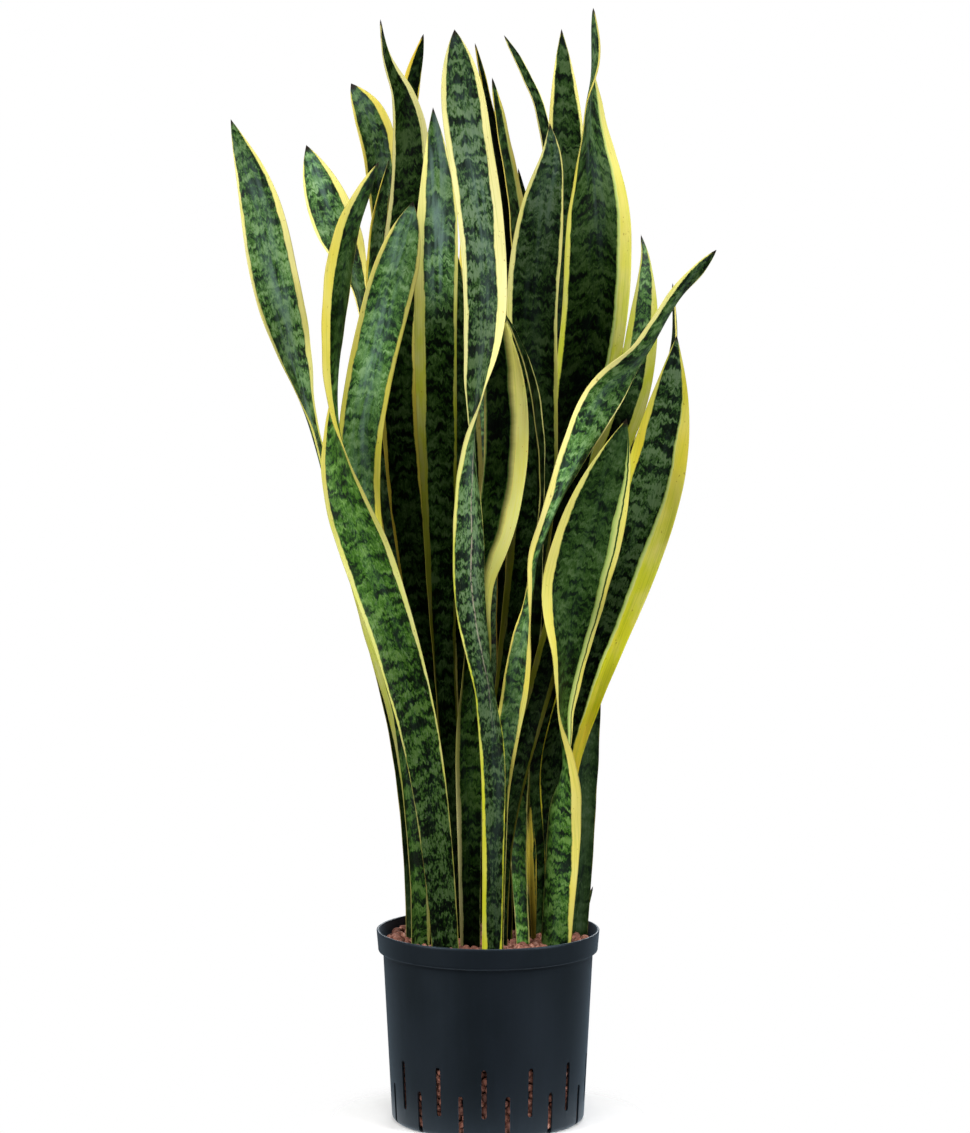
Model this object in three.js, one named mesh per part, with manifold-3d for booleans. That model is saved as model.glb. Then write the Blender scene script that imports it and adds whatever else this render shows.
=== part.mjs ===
// Potted snake plant in a slotted hydroculture pot, in millimetres, +Z up.
// The origin is the middle of the pot's flat underside, and the plant is seen from -Y.
import * as THREE from "three";
import Module from "manifold-3d";
import { mergeVertices } from "three/addons/utils/BufferGeometryUtils.js";

// ---------------------------------------------------------------- driving dimensions

const pot = {
  height: 192, rimRadius: 111, skirtHeight: 21, skirtRadius: 109.3, neckRadius: 104.4, neckHeight: 168,
  footRadius: 96, cornerRadius: 6, wall: 1.8, floor: 2.2, lip: 1.2, sides: 36,
};
const slots = {
  count: 13, width: 5.2, through: 16, inset: 10,
  long: { from: 20, to: 69.5, firstAngle: -2.3 },
  low: { from: -6, to: 42.5, firstAngle: 11.5 },
};
const clay = {
  level: 183, bedDrop: 6, gap: 0.3, reliefDepth: 6, reliefTop: 76,
  topPebbles: 44, pebbleRadius: 12, pebbleSpread: 4, slotPebbleRadius: 7, slotPebbleStep: 30, seed: 11,
};
const blade = {
  rootDepth: 43, footRise: 13, baseShare: 0.44, tipLength: 150, tipPower: 2.2, step: 72, needle: 1.3,
  rootThickness: 4, topThickness: 1.9, edgeThickness: 1, holeGap: 0.5, rootGap: 1.2,
  rootHollow: 0.5, topHollow: 0.2, waveDepth: 1.6, waveLength: 210, waveStart: 250,
};
const across = [-1, -0.45, 0.45, 1];    // where a blade's section has its points, edge to edge
const tipSteps = [0.68, 0.4, 0.17, 0];  // what is left of the tip's length at its last sections
const rhizome = { radius: 8.5, sides: 6, gap: 0.5, spare: 1 };

const colours = {
  pot: 0x252b33, clay: 0x95604c, leaf: 0x2f5f2c, sprout: 0x5d8a3a, rhizome: 0xc9b27c,
};

// Each leaf runs from the clay's surface to its tip through [x, y, z, facing]. At facing 0 its hollow
// face looks to the front, at 90 to the right, and a twist is a change of facing on the way up.
const soil = clay.level;
const leaves = {
  leaf_outer_left: { width: 46, path: [
    [-69, -47, soil, 30], [-71, -48, 269, 32], [-87, -51, 404, 38], [-118, -55, 508, 48],
    [-144, -59, 597, 66], [-169, -63, 686, 84], [-189, -73, 764, 50], [-205, -85, 837, 16],
    [-221, -97, 924, 0], [-246, -105, 996, 0]] },
  leaf_left_twist: { width: 60, path: [
    [-41, -76, soil, -5], [-49, -80, 285, -5], [-63, -87, 384, 0], [-85, -96, 478, 0],
    [-113, -107, 569, -4], [-137, -117, 650, -50], [-145, -122, 727, -90], [-141, -126, 824, -113],
    [-130, -129, 891, -122], [-104, -132, 956, -128]] },
  leaf_left_rear: { width: 46, tipLength: 110, tipPower: 3, path: [
    [-73, 36, soil, 50], [-83, 38, 296, 50], [-93, 40, 417, 55], [-106, 41, 528, 60],
    [-115, 43, 648, 68], [-117, 45, 747, 74], [-130, 44, 828, 66], [-152, 38, 891, 20],
    [-179, 30, 969, 0]] },
  leaf_bright_left: { width: 46, tipLength: 110, tipPower: 3, path: [
    [-50, -38, soil, 0], [-56, -35, 269, 0], [-74, -29, 384, 0], [-98, -22, 488, 0],
    [-121, -20, 587, -8], [-126, -26, 670, 0], [-116, -38, 744, 0], [-99, -59, 817, 0],
    [-84, -76, 870, 0], [-72, -87, 917, 0]] },
  leaf_tall_dark: { width: 43, path: [
    [-36, 8, soil, 15], [-42, 8, 280, 15], [-55, 7, 401, 15], [-70, 6, 521, 12], [-83, 5, 640, 10],
    [-89, 4, 749, 8], [-84, 2, 847, 4], [-77, 0, 925, 20], [-79, -2, 980, 36], [-85, -4, 1014, 52],
    [-95, -6, 1040, 66], [-102, -7, 1064, 74], [-105, -7, 1092, 74]] },
  leaf_centre_left: { width: 42, path: [
    [-28, -24, soil, 24], [-34, -26, 276, 32], [-41, -30, 386, 38], [-47, -35, 486, 36],
    [-48, -41, 585, 22], [-50, -48, 684, 8], [-51, -56, 782, 0], [-50, -64, 869, 0], [-49, -70, 937, 0],
    [-53, -76, 1007, 0]] },
  leaf_rear_tip_left: { width: 40, tipLength: 90, tipPower: 3.5, path: [
    [-52, 58, soil, 40], [-56, 62, 271, 42], [-67, 68, 402, 46], [-79, 74, 533, 50], [-89, 82, 663, 50],
    [-97, 90, 783, 46], [-102, 98, 883, 40], [-109, 104, 958, 30], [-119, 107, 997, 14],
    [-137, 110, 1029, 0]] },
  leaf_dark_sliver: { width: 34, path: [
    [-56, 14, soil, 50], [-64, 18, 279, 52], [-77, 22, 399, 54], [-91, 24, 519, 56], [-105, 19, 639, 58],
    [-114, 12, 748, 60], [-113, 12, 836, 58], [-107, 14, 900, 50], [-97, 18, 956, 40]] },
  leaf_rear_edge_on: { width: 34, tipLength: 110, tipPower: 2.6, path: [
    [-32, 36, soil, 60], [-39, 38, 275, 62], [-50, 42, 416, 64], [-63, 48, 556, 66], [-76, 54, 686, 68],
    [-85, 61, 805, 70], [-88, 67, 914, 70], [-83, 72, 1003, 62], [-64, 76, 1078, 45]] },
  leaf_front_twist: { width: 44, tipLength: 105, tipPower: 3, path: [
    [4, -88, soil, -176], [5, -90, 277, -178], [5, -92, 370, -176], [0, -94, 444, -140],
    [-15, -97, 528, -160], [-17, -100, 601, -152], [-15, -104, 674, -112], [-9, -107, 737, -58],
    [-2, -111, 814, -14], [-7, -115, 900, 0], [-20, -119, 986, 0], [-32, -124, 1081, 0]] },
  leaf_rear_needle: { width: 30, path: [
    [8, 20, soil, 62], [9, 21, 287, 62], [10, 22, 418, 64], [11, 25, 548, 66], [12, 30, 677, 66],
    [15, 37, 796, 66], [17, 46, 895, 66], [7, 50, 964, 64], [-13, 56, 1069, 60]] },
  leaf_curled_needle: { width: 33, path: [
    [26, 36, soil, 50], [24, 40, 285, 50], [27, 43, 416, 52], [30, 45, 547, 54], [33, 47, 677, 56],
    [34, 48, 796, 58], [27, 48, 900, 60], [14, 50, 973, 56], [4, 52, 1035, 46]] },
  leaf_rear_small_tip: { width: 28, path: [
    [28, 60, soil, 45], [33, 64, 281, 48], [38, 70, 412, 50], [43, 76, 543, 52], [46, 82, 673, 52],
    [45, 87, 793, 50], [40, 90, 873, 46], [30, 93, 945, 40]] },
  leaf_rear_lean_left: { width: 34, path: [
    [48, 55, soil, 66], [48, 57, 280, 68], [54, 64, 411, 70], [62, 77, 542, 71], [67, 86, 672, 72],
    [70, 95, 792, 72], [66, 104, 902, 72], [53, 112, 992, 68], [38, 116, 1034, 54],
    [16, 120, 1077, 30]] },
  leaf_rear_upright: { width: 38, path: [
    [41, 32, soil, 20], [46, 35, 285, 24], [57, 42, 416, 30], [64, 50, 556, 30], [71, 58, 685, 28],
    [76, 66, 805, 22], [78, 73, 904, 12], [77, 79, 993, 0], [73, 84, 1083, 0]] },
  leaf_centre_right: { width: 50, path: [
    [13, -22, soil, 0], [13, -23, 285, 0], [18, -24, 385, -6], [27, -25, 465, -8], [38, -26, 554, -6],
    [45, -27, 643, 0], [44, -28, 731, 0], [43, -30, 819, 0], [52, -32, 905, 0], [61, -33, 957, 0],
    [60, -34, 991, 0]] },
  leaf_yellow_bow: { width: 44, path: [
    [-18, -58, soil, 8], [-19, -58, 281, 8], [-18, -59, 380, 10], [-14, -61, 469, 38], [-14, -64, 539, 44],
    [6, -68, 603, 22], [16, -72, 666, 10], [16, -76, 730, 6], [10, -79, 783, 0], [-2, -82, 834, 0]] },
  leaf_thin_edge_on: { width: 30, path: [
    [34, -38, soil, 12], [29, -38, 283, 12], [32, -38, 384, 16], [38, -42, 484, 36], [47, -50, 584, 70],
    [49, -56, 663, 80], [42, -60, 737, 76], [28, -64, 782, 66], [13, -66, 813, 50]] },
  leaf_long_right: { width: 40, tipLength: 100, path: [
    [6, -70, soil, 0], [8, -71, 284, -2], [10, -73, 340, -4], [18, -75, 392, -8], [27, -78, 440, -12],
    [34, -84, 480, -40], [40, -92, 516, -76], [44, -96, 546, -96], [48, -100, 577, -106],
    [67, -106, 628, -114], [85, -112, 675, -140], [111, -119, 730, -172], [151, -128, 778, -122],
    [181, -136, 828, -114], [217, -144, 873, -158]] },
  leaf_tall_right: { width: 68, path: [
    [54, 2, soil, 10], [55, 2, 291, 8], [60, 3, 401, 4], [67, 4, 511, 0], [78, 6, 610, 0],
    [92, 8, 709, 0], [105, 10, 807, 0], [107, 12, 884, 14], [103, 13, 936, 42], [99, 14, 979, 66],
    [99, 15, 1014, 78], [103, 17, 1052, 100], [103, 19, 1103, 110]] },
  leaf_right_needle: { width: 34, path: [
    [12, -49, soil, -10], [16, -49, 279, -12], [31, -49, 359, -18], [52, -48, 438, -20],
    [73, -46, 517, -20], [97, -43, 595, -16], [118, -39, 664, -10], [140, -35, 727, 0],
    [151, -31, 795, 0], [153, -28, 853, 24], [149, -26, 883, 34]] },
  leaf_wide_right: { width: 58, tipPower: 1.9, path: [
    [70, -24, soil, 0], [71, -26, 276, 0], [70, -30, 356, 0], [88, -36, 427, 0], [111, -43, 492, 0],
    [134, -51, 552, 0], [153, -60, 612, 0], [166, -69, 671, 0], [175, -77, 723, 0],
    [182, -85, 788, 14]] },
  leaf_right_twist: { width: 66, path: [
    [65, -56, soil, 166], [69, -62, 268, 150], [70, -68, 322, 130], [74, -72, 368, 98],
    [70, -77, 420, 77], [76, -84, 482, 52], [82, -92, 542, 11], [96, -100, 591, 0], [112, -107, 643, 0],
    [133, -115, 710, 10]] },
  leaf_right_back: { width: 50, path: [
    [87, 8, soil, 40], [92, 12, 269, 42], [93, 18, 349, 42], [96, 26, 438, 36], [107, 36, 527, 26],
    [119, 48, 616, 14], [122, 60, 695, 8], [118, 72, 764, 0], [112, 82, 824, 0]] },
  leaf_back_left: { width: 48, path: [
    [-28, 78, soil, 14], [-38, 86, 290, 16], [-48, 99, 408, 20], [-60, 115, 524, 26],
    [-71, 133, 643, 32], [-80, 152, 755, 38], [-84, 169, 847, 40]] },
  leaf_back_centre: { width: 50, path: [
    [2, 86, soil, -10], [2, 94, 288, -12], [3, 107, 407, -18], [6, 123, 545, -26], [2, 139, 675, -34],
    [-6, 154, 806, -40], [-8, 164, 928, -40], [-10, 170, 990, -36]] },
  leaf_back_right: { width: 54, path: [
    [70, 57, soil, -10], [74, 72, 291, -10], [80, 90, 405, -10], [90, 112, 543, -22],
    [100, 134, 673, -34], [108, 154, 801, -40], [113, 168, 940, -40]] },
  leaf_back_far_right: { width: 44, path: [
    [84, 34, soil, -24], [91, 48, 292, -26], [94, 56, 370, -28], [104, 64, 428, -28],
    [124, 78, 496, -26], [144, 94, 560, -32], [165, 108, 630, -48], [182, 122, 700, -64],
    [190, 136, 772, -80], [187, 146, 828, -84]] },
  leaf_back_low_left: { width: 40, path: [
    [-76, -8, soil, 34], [-77, -5, 305, 30], [-84, -4, 382, 28], [-97, -4, 458, 22], [-112, -1, 526, 16],
    [-124, 11, 585, 16], [-131, 22, 644, 12]] },
  leaf_back_middle: { width: 42, path: [
    [-8, 58, soil, 12], [-13, 64, 291, 12], [-18, 76, 411, 10], [-22, 88, 549, 20], [-27, 100, 678, 34],
    [-31, 112, 788, 44], [-34, 120, 868, 50]] },
};
const sprouts = {
  sprout_front: { width: 13, tipLength: 60, rootDepth: 24, path: [
    [44, -14, soil, 55], [43, -16, 255, 55], [42, -18, 322, 55]] },
  sprout_middle: { width: 17, tipLength: 50, rootDepth: 24, path: [
    [36, 16, soil, 20], [34, 15, 222, 20], [30, 14, 256, 20]] },
  sprout_edge: { width: 6, tipLength: 26, rootDepth: 20, path: [
    [93, 26, soil, 40], [97, 25, 205, 40], [105, 23, 231, 40]] },
};
// Rhizomes lie in the clay just under the leaves that grow from them, each a bent stem through [x, y].
const rhizomes = {
  rhizome_left: [[-80, 30], [-56, 14], [-36, 8], [-28, -24], [-50, -38], [-78, -50]],
  rhizome_front: [[-52, -78], [-18, -58], [12, -49], [25, -71], [6, -88]],
  rhizome_right: [[66, -62], [72, -24], [54, 2], [46, 32], [26, 36]],
  rhizome_back: [[-62, 60], [-34, 44], [-8, 58], [28, 60], [50, 58], [78, 40]],
};

// ---------------------------------------------------------------- solids

const wasm = await Module();
wasm.setup();
const draw = THREE.MathUtils.seededRandom;

// A closed mesh becomes a solid once only its places are left and its shared corners are one.
function solidOf(geometry) {
  for (const name of ["normal", "uv"]) geometry.deleteAttribute(name);
  const merged = mergeVertices(geometry, 1e-4);
  return new wasm.Manifold(new wasm.Mesh({
    numProp: 3,
    vertProperties: new Float32Array(merged.attributes.position.array),
    triVerts: new Uint32Array(merged.index.array),
  }));
}

function geometryOf(solid) {
  const { vertProperties, triVerts } = solid.getMesh();
  const geometry = new THREE.BufferGeometry();
  geometry.setAttribute("position", new THREE.BufferAttribute(vertProperties, 3));
  geometry.setIndex(new THREE.BufferAttribute(triVerts, 1));
  geometry.computeVertexNormals();
  return geometry;
}

// A profile of [radius, height] turned about Z, from the axis round to the axis.
function turned(profile, sides) {
  const points = profile.map(([radius, height]) => new THREE.Vector2(radius, height));
  return solidOf(new THREE.LatheGeometry(points, sides).rotateX(Math.PI / 2));
}

// ---------------------------------------------------------------- pot

// The rounded corner at the foot, as points on a quarter circle that turns up into the wall.
function footCorner(radius, bend, bottom) {
  return [0, 1, 2].map((i) => {
    const angle = (i * Math.PI) / 4;
    return [radius - bend + bend * Math.sin(angle), bottom + bend - bend * Math.cos(angle)];
  });
}

// An upright slot with round ends, lying across the wall at one angle from the front.
function slotCutter({ from, to }, angle) {
  const half = slots.width / 2;
  const outline = new THREE.Shape();
  outline.absarc(0, to - half, half, 0, Math.PI, false);
  outline.absarc(0, from + half, half, Math.PI, 2 * Math.PI, false);
  const cutter = new THREE.ExtrudeGeometry(outline,
    { depth: slots.through, bevelEnabled: false, curveSegments: 2 });
  cutter.rotateX(Math.PI / 2).translate(0, -(pot.footRadius - slots.inset), 0);
  return solidOf(cutter.rotateZ(THREE.MathUtils.degToRad(angle)));
}

function makePot() {
  const { lip } = pot;
  const skirtFoot = pot.height - pot.skirtHeight;
  const outside = [[0, 0], ...footCorner(pot.footRadius, pot.cornerRadius, 0),
    [pot.neckRadius, pot.neckHeight], [pot.skirtRadius - 1, skirtFoot], [pot.skirtRadius, skirtFoot + 1],
    [pot.rimRadius, pot.height - lip], [pot.rimRadius - lip, pot.height]];
  const innerRim = pot.rimRadius - 2 * pot.wall;
  const inside = [[innerRim + lip / 2, pot.height], [innerRim, pot.height - lip],
    [innerRim - lip / 2, skirtFoot + pot.wall], [pot.neckRadius - pot.wall, pot.neckHeight - pot.wall],
    ...footCorner(pot.footRadius - pot.wall, pot.cornerRadius - pot.wall, pot.floor).reverse(),
    [0, pot.floor]];
  let body = turned([...outside, ...inside], pot.sides);
  for (const row of [slots.long, slots.low]) {
    for (let i = 0; i < slots.count; i += 1) {
      body = body.subtract(slotCutter(row, row.firstAngle + (i * 360) / slots.count));
    }
  }
  return geometryOf(body);
}

// ---------------------------------------------------------------- leaves

// The Catmull-Rom value at place t, 0 to 1, along a row of numbers, with its ends carried on straight.
function smoothed(values, t) {
  const last = values.length - 1;
  const place = Math.min(t * last, last - 1e-6);
  const i = Math.floor(place);
  const f = place - i;
  const [b, c] = [values[i], values[i + 1]];
  const a = i > 0 ? values[i - 1] : 2 * b - c;
  const d = i + 2 <= last ? values[i + 2] : 2 * c - b;
  return b + 0.5 * f * (c - a + f * (2 * a - 5 * b + 4 * c - d + f * (3 * (b - c) + d - a)));
}

const easeIn = (value) => {
  const u = THREE.MathUtils.clamp(value, 0, 1);
  return u * u * (3 - 2 * u);
};

// The sections of a leaf from root to tip, each with its place along the leaf, its frame and its sizes.
function sections(leaf, index) {
  const [x, y, z, facing] = leaf.path[0];
  const path = [[x, y, z - (leaf.rootDepth ?? blade.rootDepth), facing], ...leaf.path];
  const spine = new THREE.CatmullRomCurve3(path.map(([px, py, pz]) => new THREE.Vector3(px, py, pz)),
    false, "catmullrom", 0.5);
  spine.arcLengthDivisions = 400;
  const length = spine.getLength();
  const tip = leaf.tipLength ?? blade.tipLength;
  const foot = (leaf.rootDepth ?? blade.rootDepth) + blade.footRise;
  const evenSteps = Math.max(1, Math.round((length - tip - foot) / blade.step));
  const places = [0];
  for (let i = 0; i <= evenSteps; i += 1) places.push(foot + ((length - tip - foot) * i) / evenSteps);
  for (const left of tipSteps) places.push(length - tip * left);
  return places.map((place) => {
    const u = place / length;
    const t = spine.getUtoTmapping(u);
    const centre = spine.getPoint(t);
    const along = spine.getTangent(t);
    const turn = THREE.MathUtils.degToRad(smoothed(path.map((p) => p[3]), t));
    const side = new THREE.Vector3(Math.cos(turn), Math.sin(turn), 0);
    side.addScaledVector(along, -side.dot(along)).normalize();
    const face = new THREE.Vector3().crossVectors(side, along);
    const grown = easeIn(place / (length - tip));
    const tipPower = leaf.tipPower ?? blade.tipPower;
    const tipShare = place > length - tip ? 1 - ((place - length + tip) / tip) ** tipPower : 1;
    return {
      centre, side, face, place, index,
      halfWidth: Math.max(0.5 * leaf.width * (blade.baseShare + (1 - blade.baseShare) * grown) * tipShare,
        blade.needle),
      hollow: THREE.MathUtils.lerp(blade.rootHollow, blade.topHollow, grown),
      thickness: THREE.MathUtils.lerp(blade.rootThickness, blade.topThickness, easeIn(2 * u)),
      wave: blade.waveDepth * easeIn(place / blade.waveStart) * Math.min(1, tipShare * 2),
    };
  });
}

// The points round one section: along the hollow face from edge to edge, and back along the other.
function sectionPoints(section, spare) {
  const { centre, side, face, place, index, halfWidth, hollow, thickness, wave } = section;
  const pointAt = (a, half) => {
    const edge = Math.abs(a) ** 3;
    const phase = (2 * Math.PI * place) / blade.waveLength + index * 1.7 + (a > 0 ? 0 : 2.1);
    const lift = hollow * halfWidth * a * a + wave * edge * Math.sin(phase);
    return centre.clone().addScaledVector(side, a * (halfWidth + spare)).addScaledVector(face, lift + half);
  };
  const halfAt = (a) => {
    const bodyThickness = Math.min(thickness, 0.9 * halfWidth + 0.4);
    return (Math.abs(a) === 1 ? Math.min(blade.edgeThickness, bodyThickness) : bodyThickness) / 2 + spare;
  };
  return [...across.map((a) => pointAt(a, halfAt(a))),
    ...[...across].reverse().map((a) => pointAt(a, -halfAt(a)))];
}

// The closed skin over a leaf's sections. Both faces are split along the same diagonals.
function bladeGeometry(rows, spare = 0) {
  const points = rows.flatMap((section) => sectionPoints(section, spare));
  const round = 2 * across.length;
  const front = across.length - 1;
  const faces = [];
  const quad = (a, b, c, d, fromFirst) => {
    faces.push(...(fromFirst ? [a, b, c, a, c, d] : [a, b, d, b, c, d]));
  };
  for (let i = 0; i + 1 < rows.length; i += 1) {
    for (let j = 0; j < round; j += 1) {
      const next = (j + 1) % round;
      quad(i * round + j, i * round + next, (i + 1) * round + next, (i + 1) * round + j, j <= front);
    }
  }
  const top = (rows.length - 1) * round;
  for (let j = 0; j < front; j += 1) {
    const back = round - 1 - j;
    quad(j, back, back - 1, j + 1, true);
    quad(top + j, top + j + 1, top + back - 1, top + back, true);
  }
  const geometry = new THREE.BufferGeometry().setFromPoints(points);
  geometry.setIndex(faces);
  geometry.computeVertexNormals();
  return geometry;
}

// The hole that a leaf stands in: its two lowest sections, a little wider and carried below its end.
function leafHole(rows) {
  const low = rows.slice(0, 2).map((section) => ({ ...section, centre: section.centre.clone() }));
  low[0].centre.z -= blade.rootGap;
  return solidOf(bladeGeometry(low, blade.holeGap));
}

// ---------------------------------------------------------------- rhizomes

// A stem of even thickness through its points, its top just under the ends of the leaves.
function rhizomeSolid(points, spare) {
  const radius = rhizome.radius + spare;
  const level = clay.level - blade.rootDepth - rhizome.gap - rhizome.radius;
  const outline = new THREE.Shape();
  for (let i = 0; i < rhizome.sides; i += 1) {
    const angle = (i * 2 * Math.PI) / rhizome.sides;
    outline[i ? "lineTo" : "moveTo"](radius * Math.cos(angle), radius * Math.sin(angle));
  }
  const bends = points.map(([x, y]) => new THREE.Vector3(x, y, level));
  const trimmed = spare > 0 ? 0 : rhizome.gap;
  bends[0].add(bends[1].clone().sub(bends[0]).setLength(trimmed));
  bends.at(-1).add(bends.at(-2).clone().sub(bends.at(-1)).setLength(trimmed));
  const spine = new THREE.CatmullRomCurve3(bends);
  return solidOf(new THREE.ExtrudeGeometry(outline, { steps: points.length + 2, extrudePath: spine }));
}

// ---------------------------------------------------------------- clay pebbles

// A stone of uneven sides, turned any way round, at its own centre.
function pebble(radius) {
  const stone = new THREE.IcosahedronGeometry(radius, 0);
  stone.scale(0.85 + 0.3 * draw(), 0.8 + 0.3 * draw(), 0.7 + 0.25 * draw());
  stone.rotateX(6 * draw()).rotateY(6 * draw()).rotateZ(6 * draw());
  stone.computeBoundingBox();
  return stone;
}

// The filling: one bed that follows the pot's inside, with pebbles over its top and behind the slots.
function makeClay(holes) {
  draw(clay.seed);
  const inner = (z) => pot.footRadius - pot.wall
    + ((pot.neckRadius - pot.footRadius) * (z - pot.cornerRadius)) / (pot.neckHeight - pot.cornerRadius);
  const bottom = pot.floor + clay.gap;
  const shoulder = pot.neckHeight - 6 * pot.wall;
  const low = clay.reliefDepth + clay.gap;
  let bed = turned([[0, bottom], [inner(0) - low - 4, bottom], [inner(10) - low, bottom + 6],
    [inner(clay.reliefTop) - low, clay.reliefTop - 4],
    [inner(clay.reliefTop + 4) - clay.gap, clay.reliefTop + 4],
    [inner(shoulder) - 1.5 * clay.gap, shoulder], [inner(shoulder), pot.neckHeight - pot.wall],
    [pot.skirtRadius - 2 * pot.wall - 1, clay.level - clay.bedDrop - 1], [0, clay.level - clay.bedDrop]],
    pot.sides);
  const golden = Math.PI * (3 - Math.sqrt(5));
  const reach = pot.neckRadius - pot.wall - clay.pebbleRadius;
  for (let i = 0; i < clay.topPebbles; i += 1) {
    const radius = reach * Math.sqrt((i + 0.6) / clay.topPebbles);
    const stone = pebble(clay.pebbleRadius * (0.85 + 0.25 * draw()));
    const top = clay.level - 1 + clay.pebbleSpread * draw();
    bed = bed.add(solidOf(stone.translate(radius * Math.cos(golden * i), radius * Math.sin(golden * i),
      top - stone.boundingBox.max.z)));
  }
  for (const row of [slots.long, slots.low]) {
    const lowest = Math.max(row.from, bottom) + clay.slotPebbleRadius;
    for (let i = 0; i < slots.count; i += 1) {
      const angle = THREE.MathUtils.degToRad(row.firstAngle + (i * 360) / slots.count - 90);
      for (let z = lowest; z < row.to; z += clay.slotPebbleStep) {
        const radius = inner(Math.max(z, 10)) - clay.slotPebbleRadius * 1.02 - clay.gap;
        bed = bed.add(solidOf(pebble(clay.slotPebbleRadius * 0.9)
          .translate(radius * Math.cos(angle), radius * Math.sin(angle), z)));
      }
    }
  }
  for (const hole of holes) bed = bed.subtract(hole);
  const bodies = bed.decompose().sort((a, b) => b.volume() - a.volume());
  return geometryOf(bodies[0]);
}

// ---------------------------------------------------------------- the plant

const finish = {
  pot: { color: colours.pot, roughness: 0.42, metalness: 0 },
  clay: { color: colours.clay, roughness: 0.95, metalness: 0 },
  leaf: { color: colours.leaf, roughness: 0.38, metalness: 0 },
  sprout: { color: colours.sprout, roughness: 0.4, metalness: 0 },
  rhizome: { color: colours.rhizome, roughness: 0.8, metalness: 0 },
};

const plant = new THREE.Group();
function addPiece(name, geometry, look) {
  const mesh = new THREE.Mesh(geometry, new THREE.MeshStandardMaterial(finish[look]));
  mesh.name = name;
  plant.add(mesh);
  return mesh;
}

const holes = [];
for (const [table, look] of [[leaves, "leaf"], [sprouts, "sprout"]]) {
  Object.entries(table).forEach(([name, leaf], index) => {
    const rows = sections(leaf, index);
    holes.push(leafHole(rows));
    const [x, y, z] = leaf.path[0];
    addPiece(name, bladeGeometry(rows).translate(-x, -y, -z), look).position.set(x, y, z);
  });
}
for (const [name, points] of Object.entries(rhizomes)) {
  holes.push(rhizomeSolid(points, rhizome.spare));
  addPiece(name, geometryOf(rhizomeSolid(points, 0)), "rhizome");
}
addPiece("pot", makePot(), "pot");
addPiece("clay_pebbles", makeClay(holes), "clay");

export default plant;
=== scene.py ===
# A tall snake plant in a slotted culture pot. Sizes in the tables are millimetres, and meshes are metres.
import math
import bpy
import numpy as np
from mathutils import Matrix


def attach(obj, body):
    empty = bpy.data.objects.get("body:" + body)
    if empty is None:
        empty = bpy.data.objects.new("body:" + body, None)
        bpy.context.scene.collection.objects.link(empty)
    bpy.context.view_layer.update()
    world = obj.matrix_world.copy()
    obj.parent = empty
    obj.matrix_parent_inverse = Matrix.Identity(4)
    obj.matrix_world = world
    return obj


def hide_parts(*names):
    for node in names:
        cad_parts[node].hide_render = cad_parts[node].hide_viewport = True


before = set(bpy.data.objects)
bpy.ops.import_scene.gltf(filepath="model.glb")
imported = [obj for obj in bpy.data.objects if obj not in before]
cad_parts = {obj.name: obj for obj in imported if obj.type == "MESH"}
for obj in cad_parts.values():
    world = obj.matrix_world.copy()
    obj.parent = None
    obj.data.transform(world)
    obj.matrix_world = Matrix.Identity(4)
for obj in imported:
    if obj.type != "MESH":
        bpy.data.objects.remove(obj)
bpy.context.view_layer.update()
mm = 0.001
print("frame loaded:", len(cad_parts), "nodes")

# The camera and the light


def placed(name, data):
    thing = bpy.data.objects.new(name, data)
    bpy.context.scene.collection.objects.link(thing)
    return thing


view = {
    "place": (-0.003, -4.6, 1.051),
    "pitchDown": 6.158,        # degrees
    "focalPixels": 4684,       # of a photograph 1133 pixels high
    "tallPixels": 1133,
    "sensor": 36,
}
camera = placed("camera", bpy.data.cameras.new("camera"))
camera.location = view["place"]
camera.rotation_euler = (math.radians(90 - view["pitchDown"]), 0, 0)
camera.data.sensor_width = view["sensor"]
camera.data.lens = view["focalPixels"] / view["tallPixels"] * view["sensor"]
camera.data.clip_end = 100
bpy.context.scene.camera = camera
bpy.context.scene.view_settings.view_transform = "Standard"

studio = {
    "ambient": 0.1,
    "backdrop": 1.0,           # what the camera sees beyond the floor
    "aim": (0, 0, 0.55),       # what the lights face
    "floorRadius": 1.6,
    "floorFade": (0.09, 0.19),     # the floor fades out between these distances from the middle
    "floorFacets": 96,
    "paper": (0.95, 0.95, 0.95, 1),
    "paperGrain": (0.7, 0.7, 0.7, 1),
}
lights = {
    "key": {"place": (-3.3, -2.0, 2.0), "size": (2.2, 3.0), "watts": 220, "tint": (1, 0.99, 0.97)},
    "fill": {"place": (3.2, -1.8, 1.8), "size": (2.2, 3.0), "watts": 180, "tint": (0.98, 0.99, 1)},
    "top": {"place": (0.1, -0.6, 3.7), "size": (1.2, 1.2), "watts": 60, "tint": (1, 1, 1)},
    "front": {"place": (0.4, -4.4, 3.3), "size": (1.6, 1.6), "watts": 70, "tint": (1, 1, 1)},
    "back": {"place": (0.6, 3.8, 2.2), "size": (2.0, 2.0), "watts": 60, "tint": (1, 1, 1)},
}


def addLight(name, look):
    light = placed(name, bpy.data.lights.new(name, "AREA"))
    light.data.shape = "RECTANGLE"
    light.data.size, light.data.size_y = look["size"]
    light.data.energy = look["watts"]
    light.data.color = look["tint"]
    light.location = look["place"]
    away = light.location - type(light.location)(studio["aim"])
    light.rotation_euler = away.to_track_quat("Z", "Y").to_euler()


for lightName, lightLook in lights.items():
    addLight(lightName, lightLook)
print("lights made:", len(lights))

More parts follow.
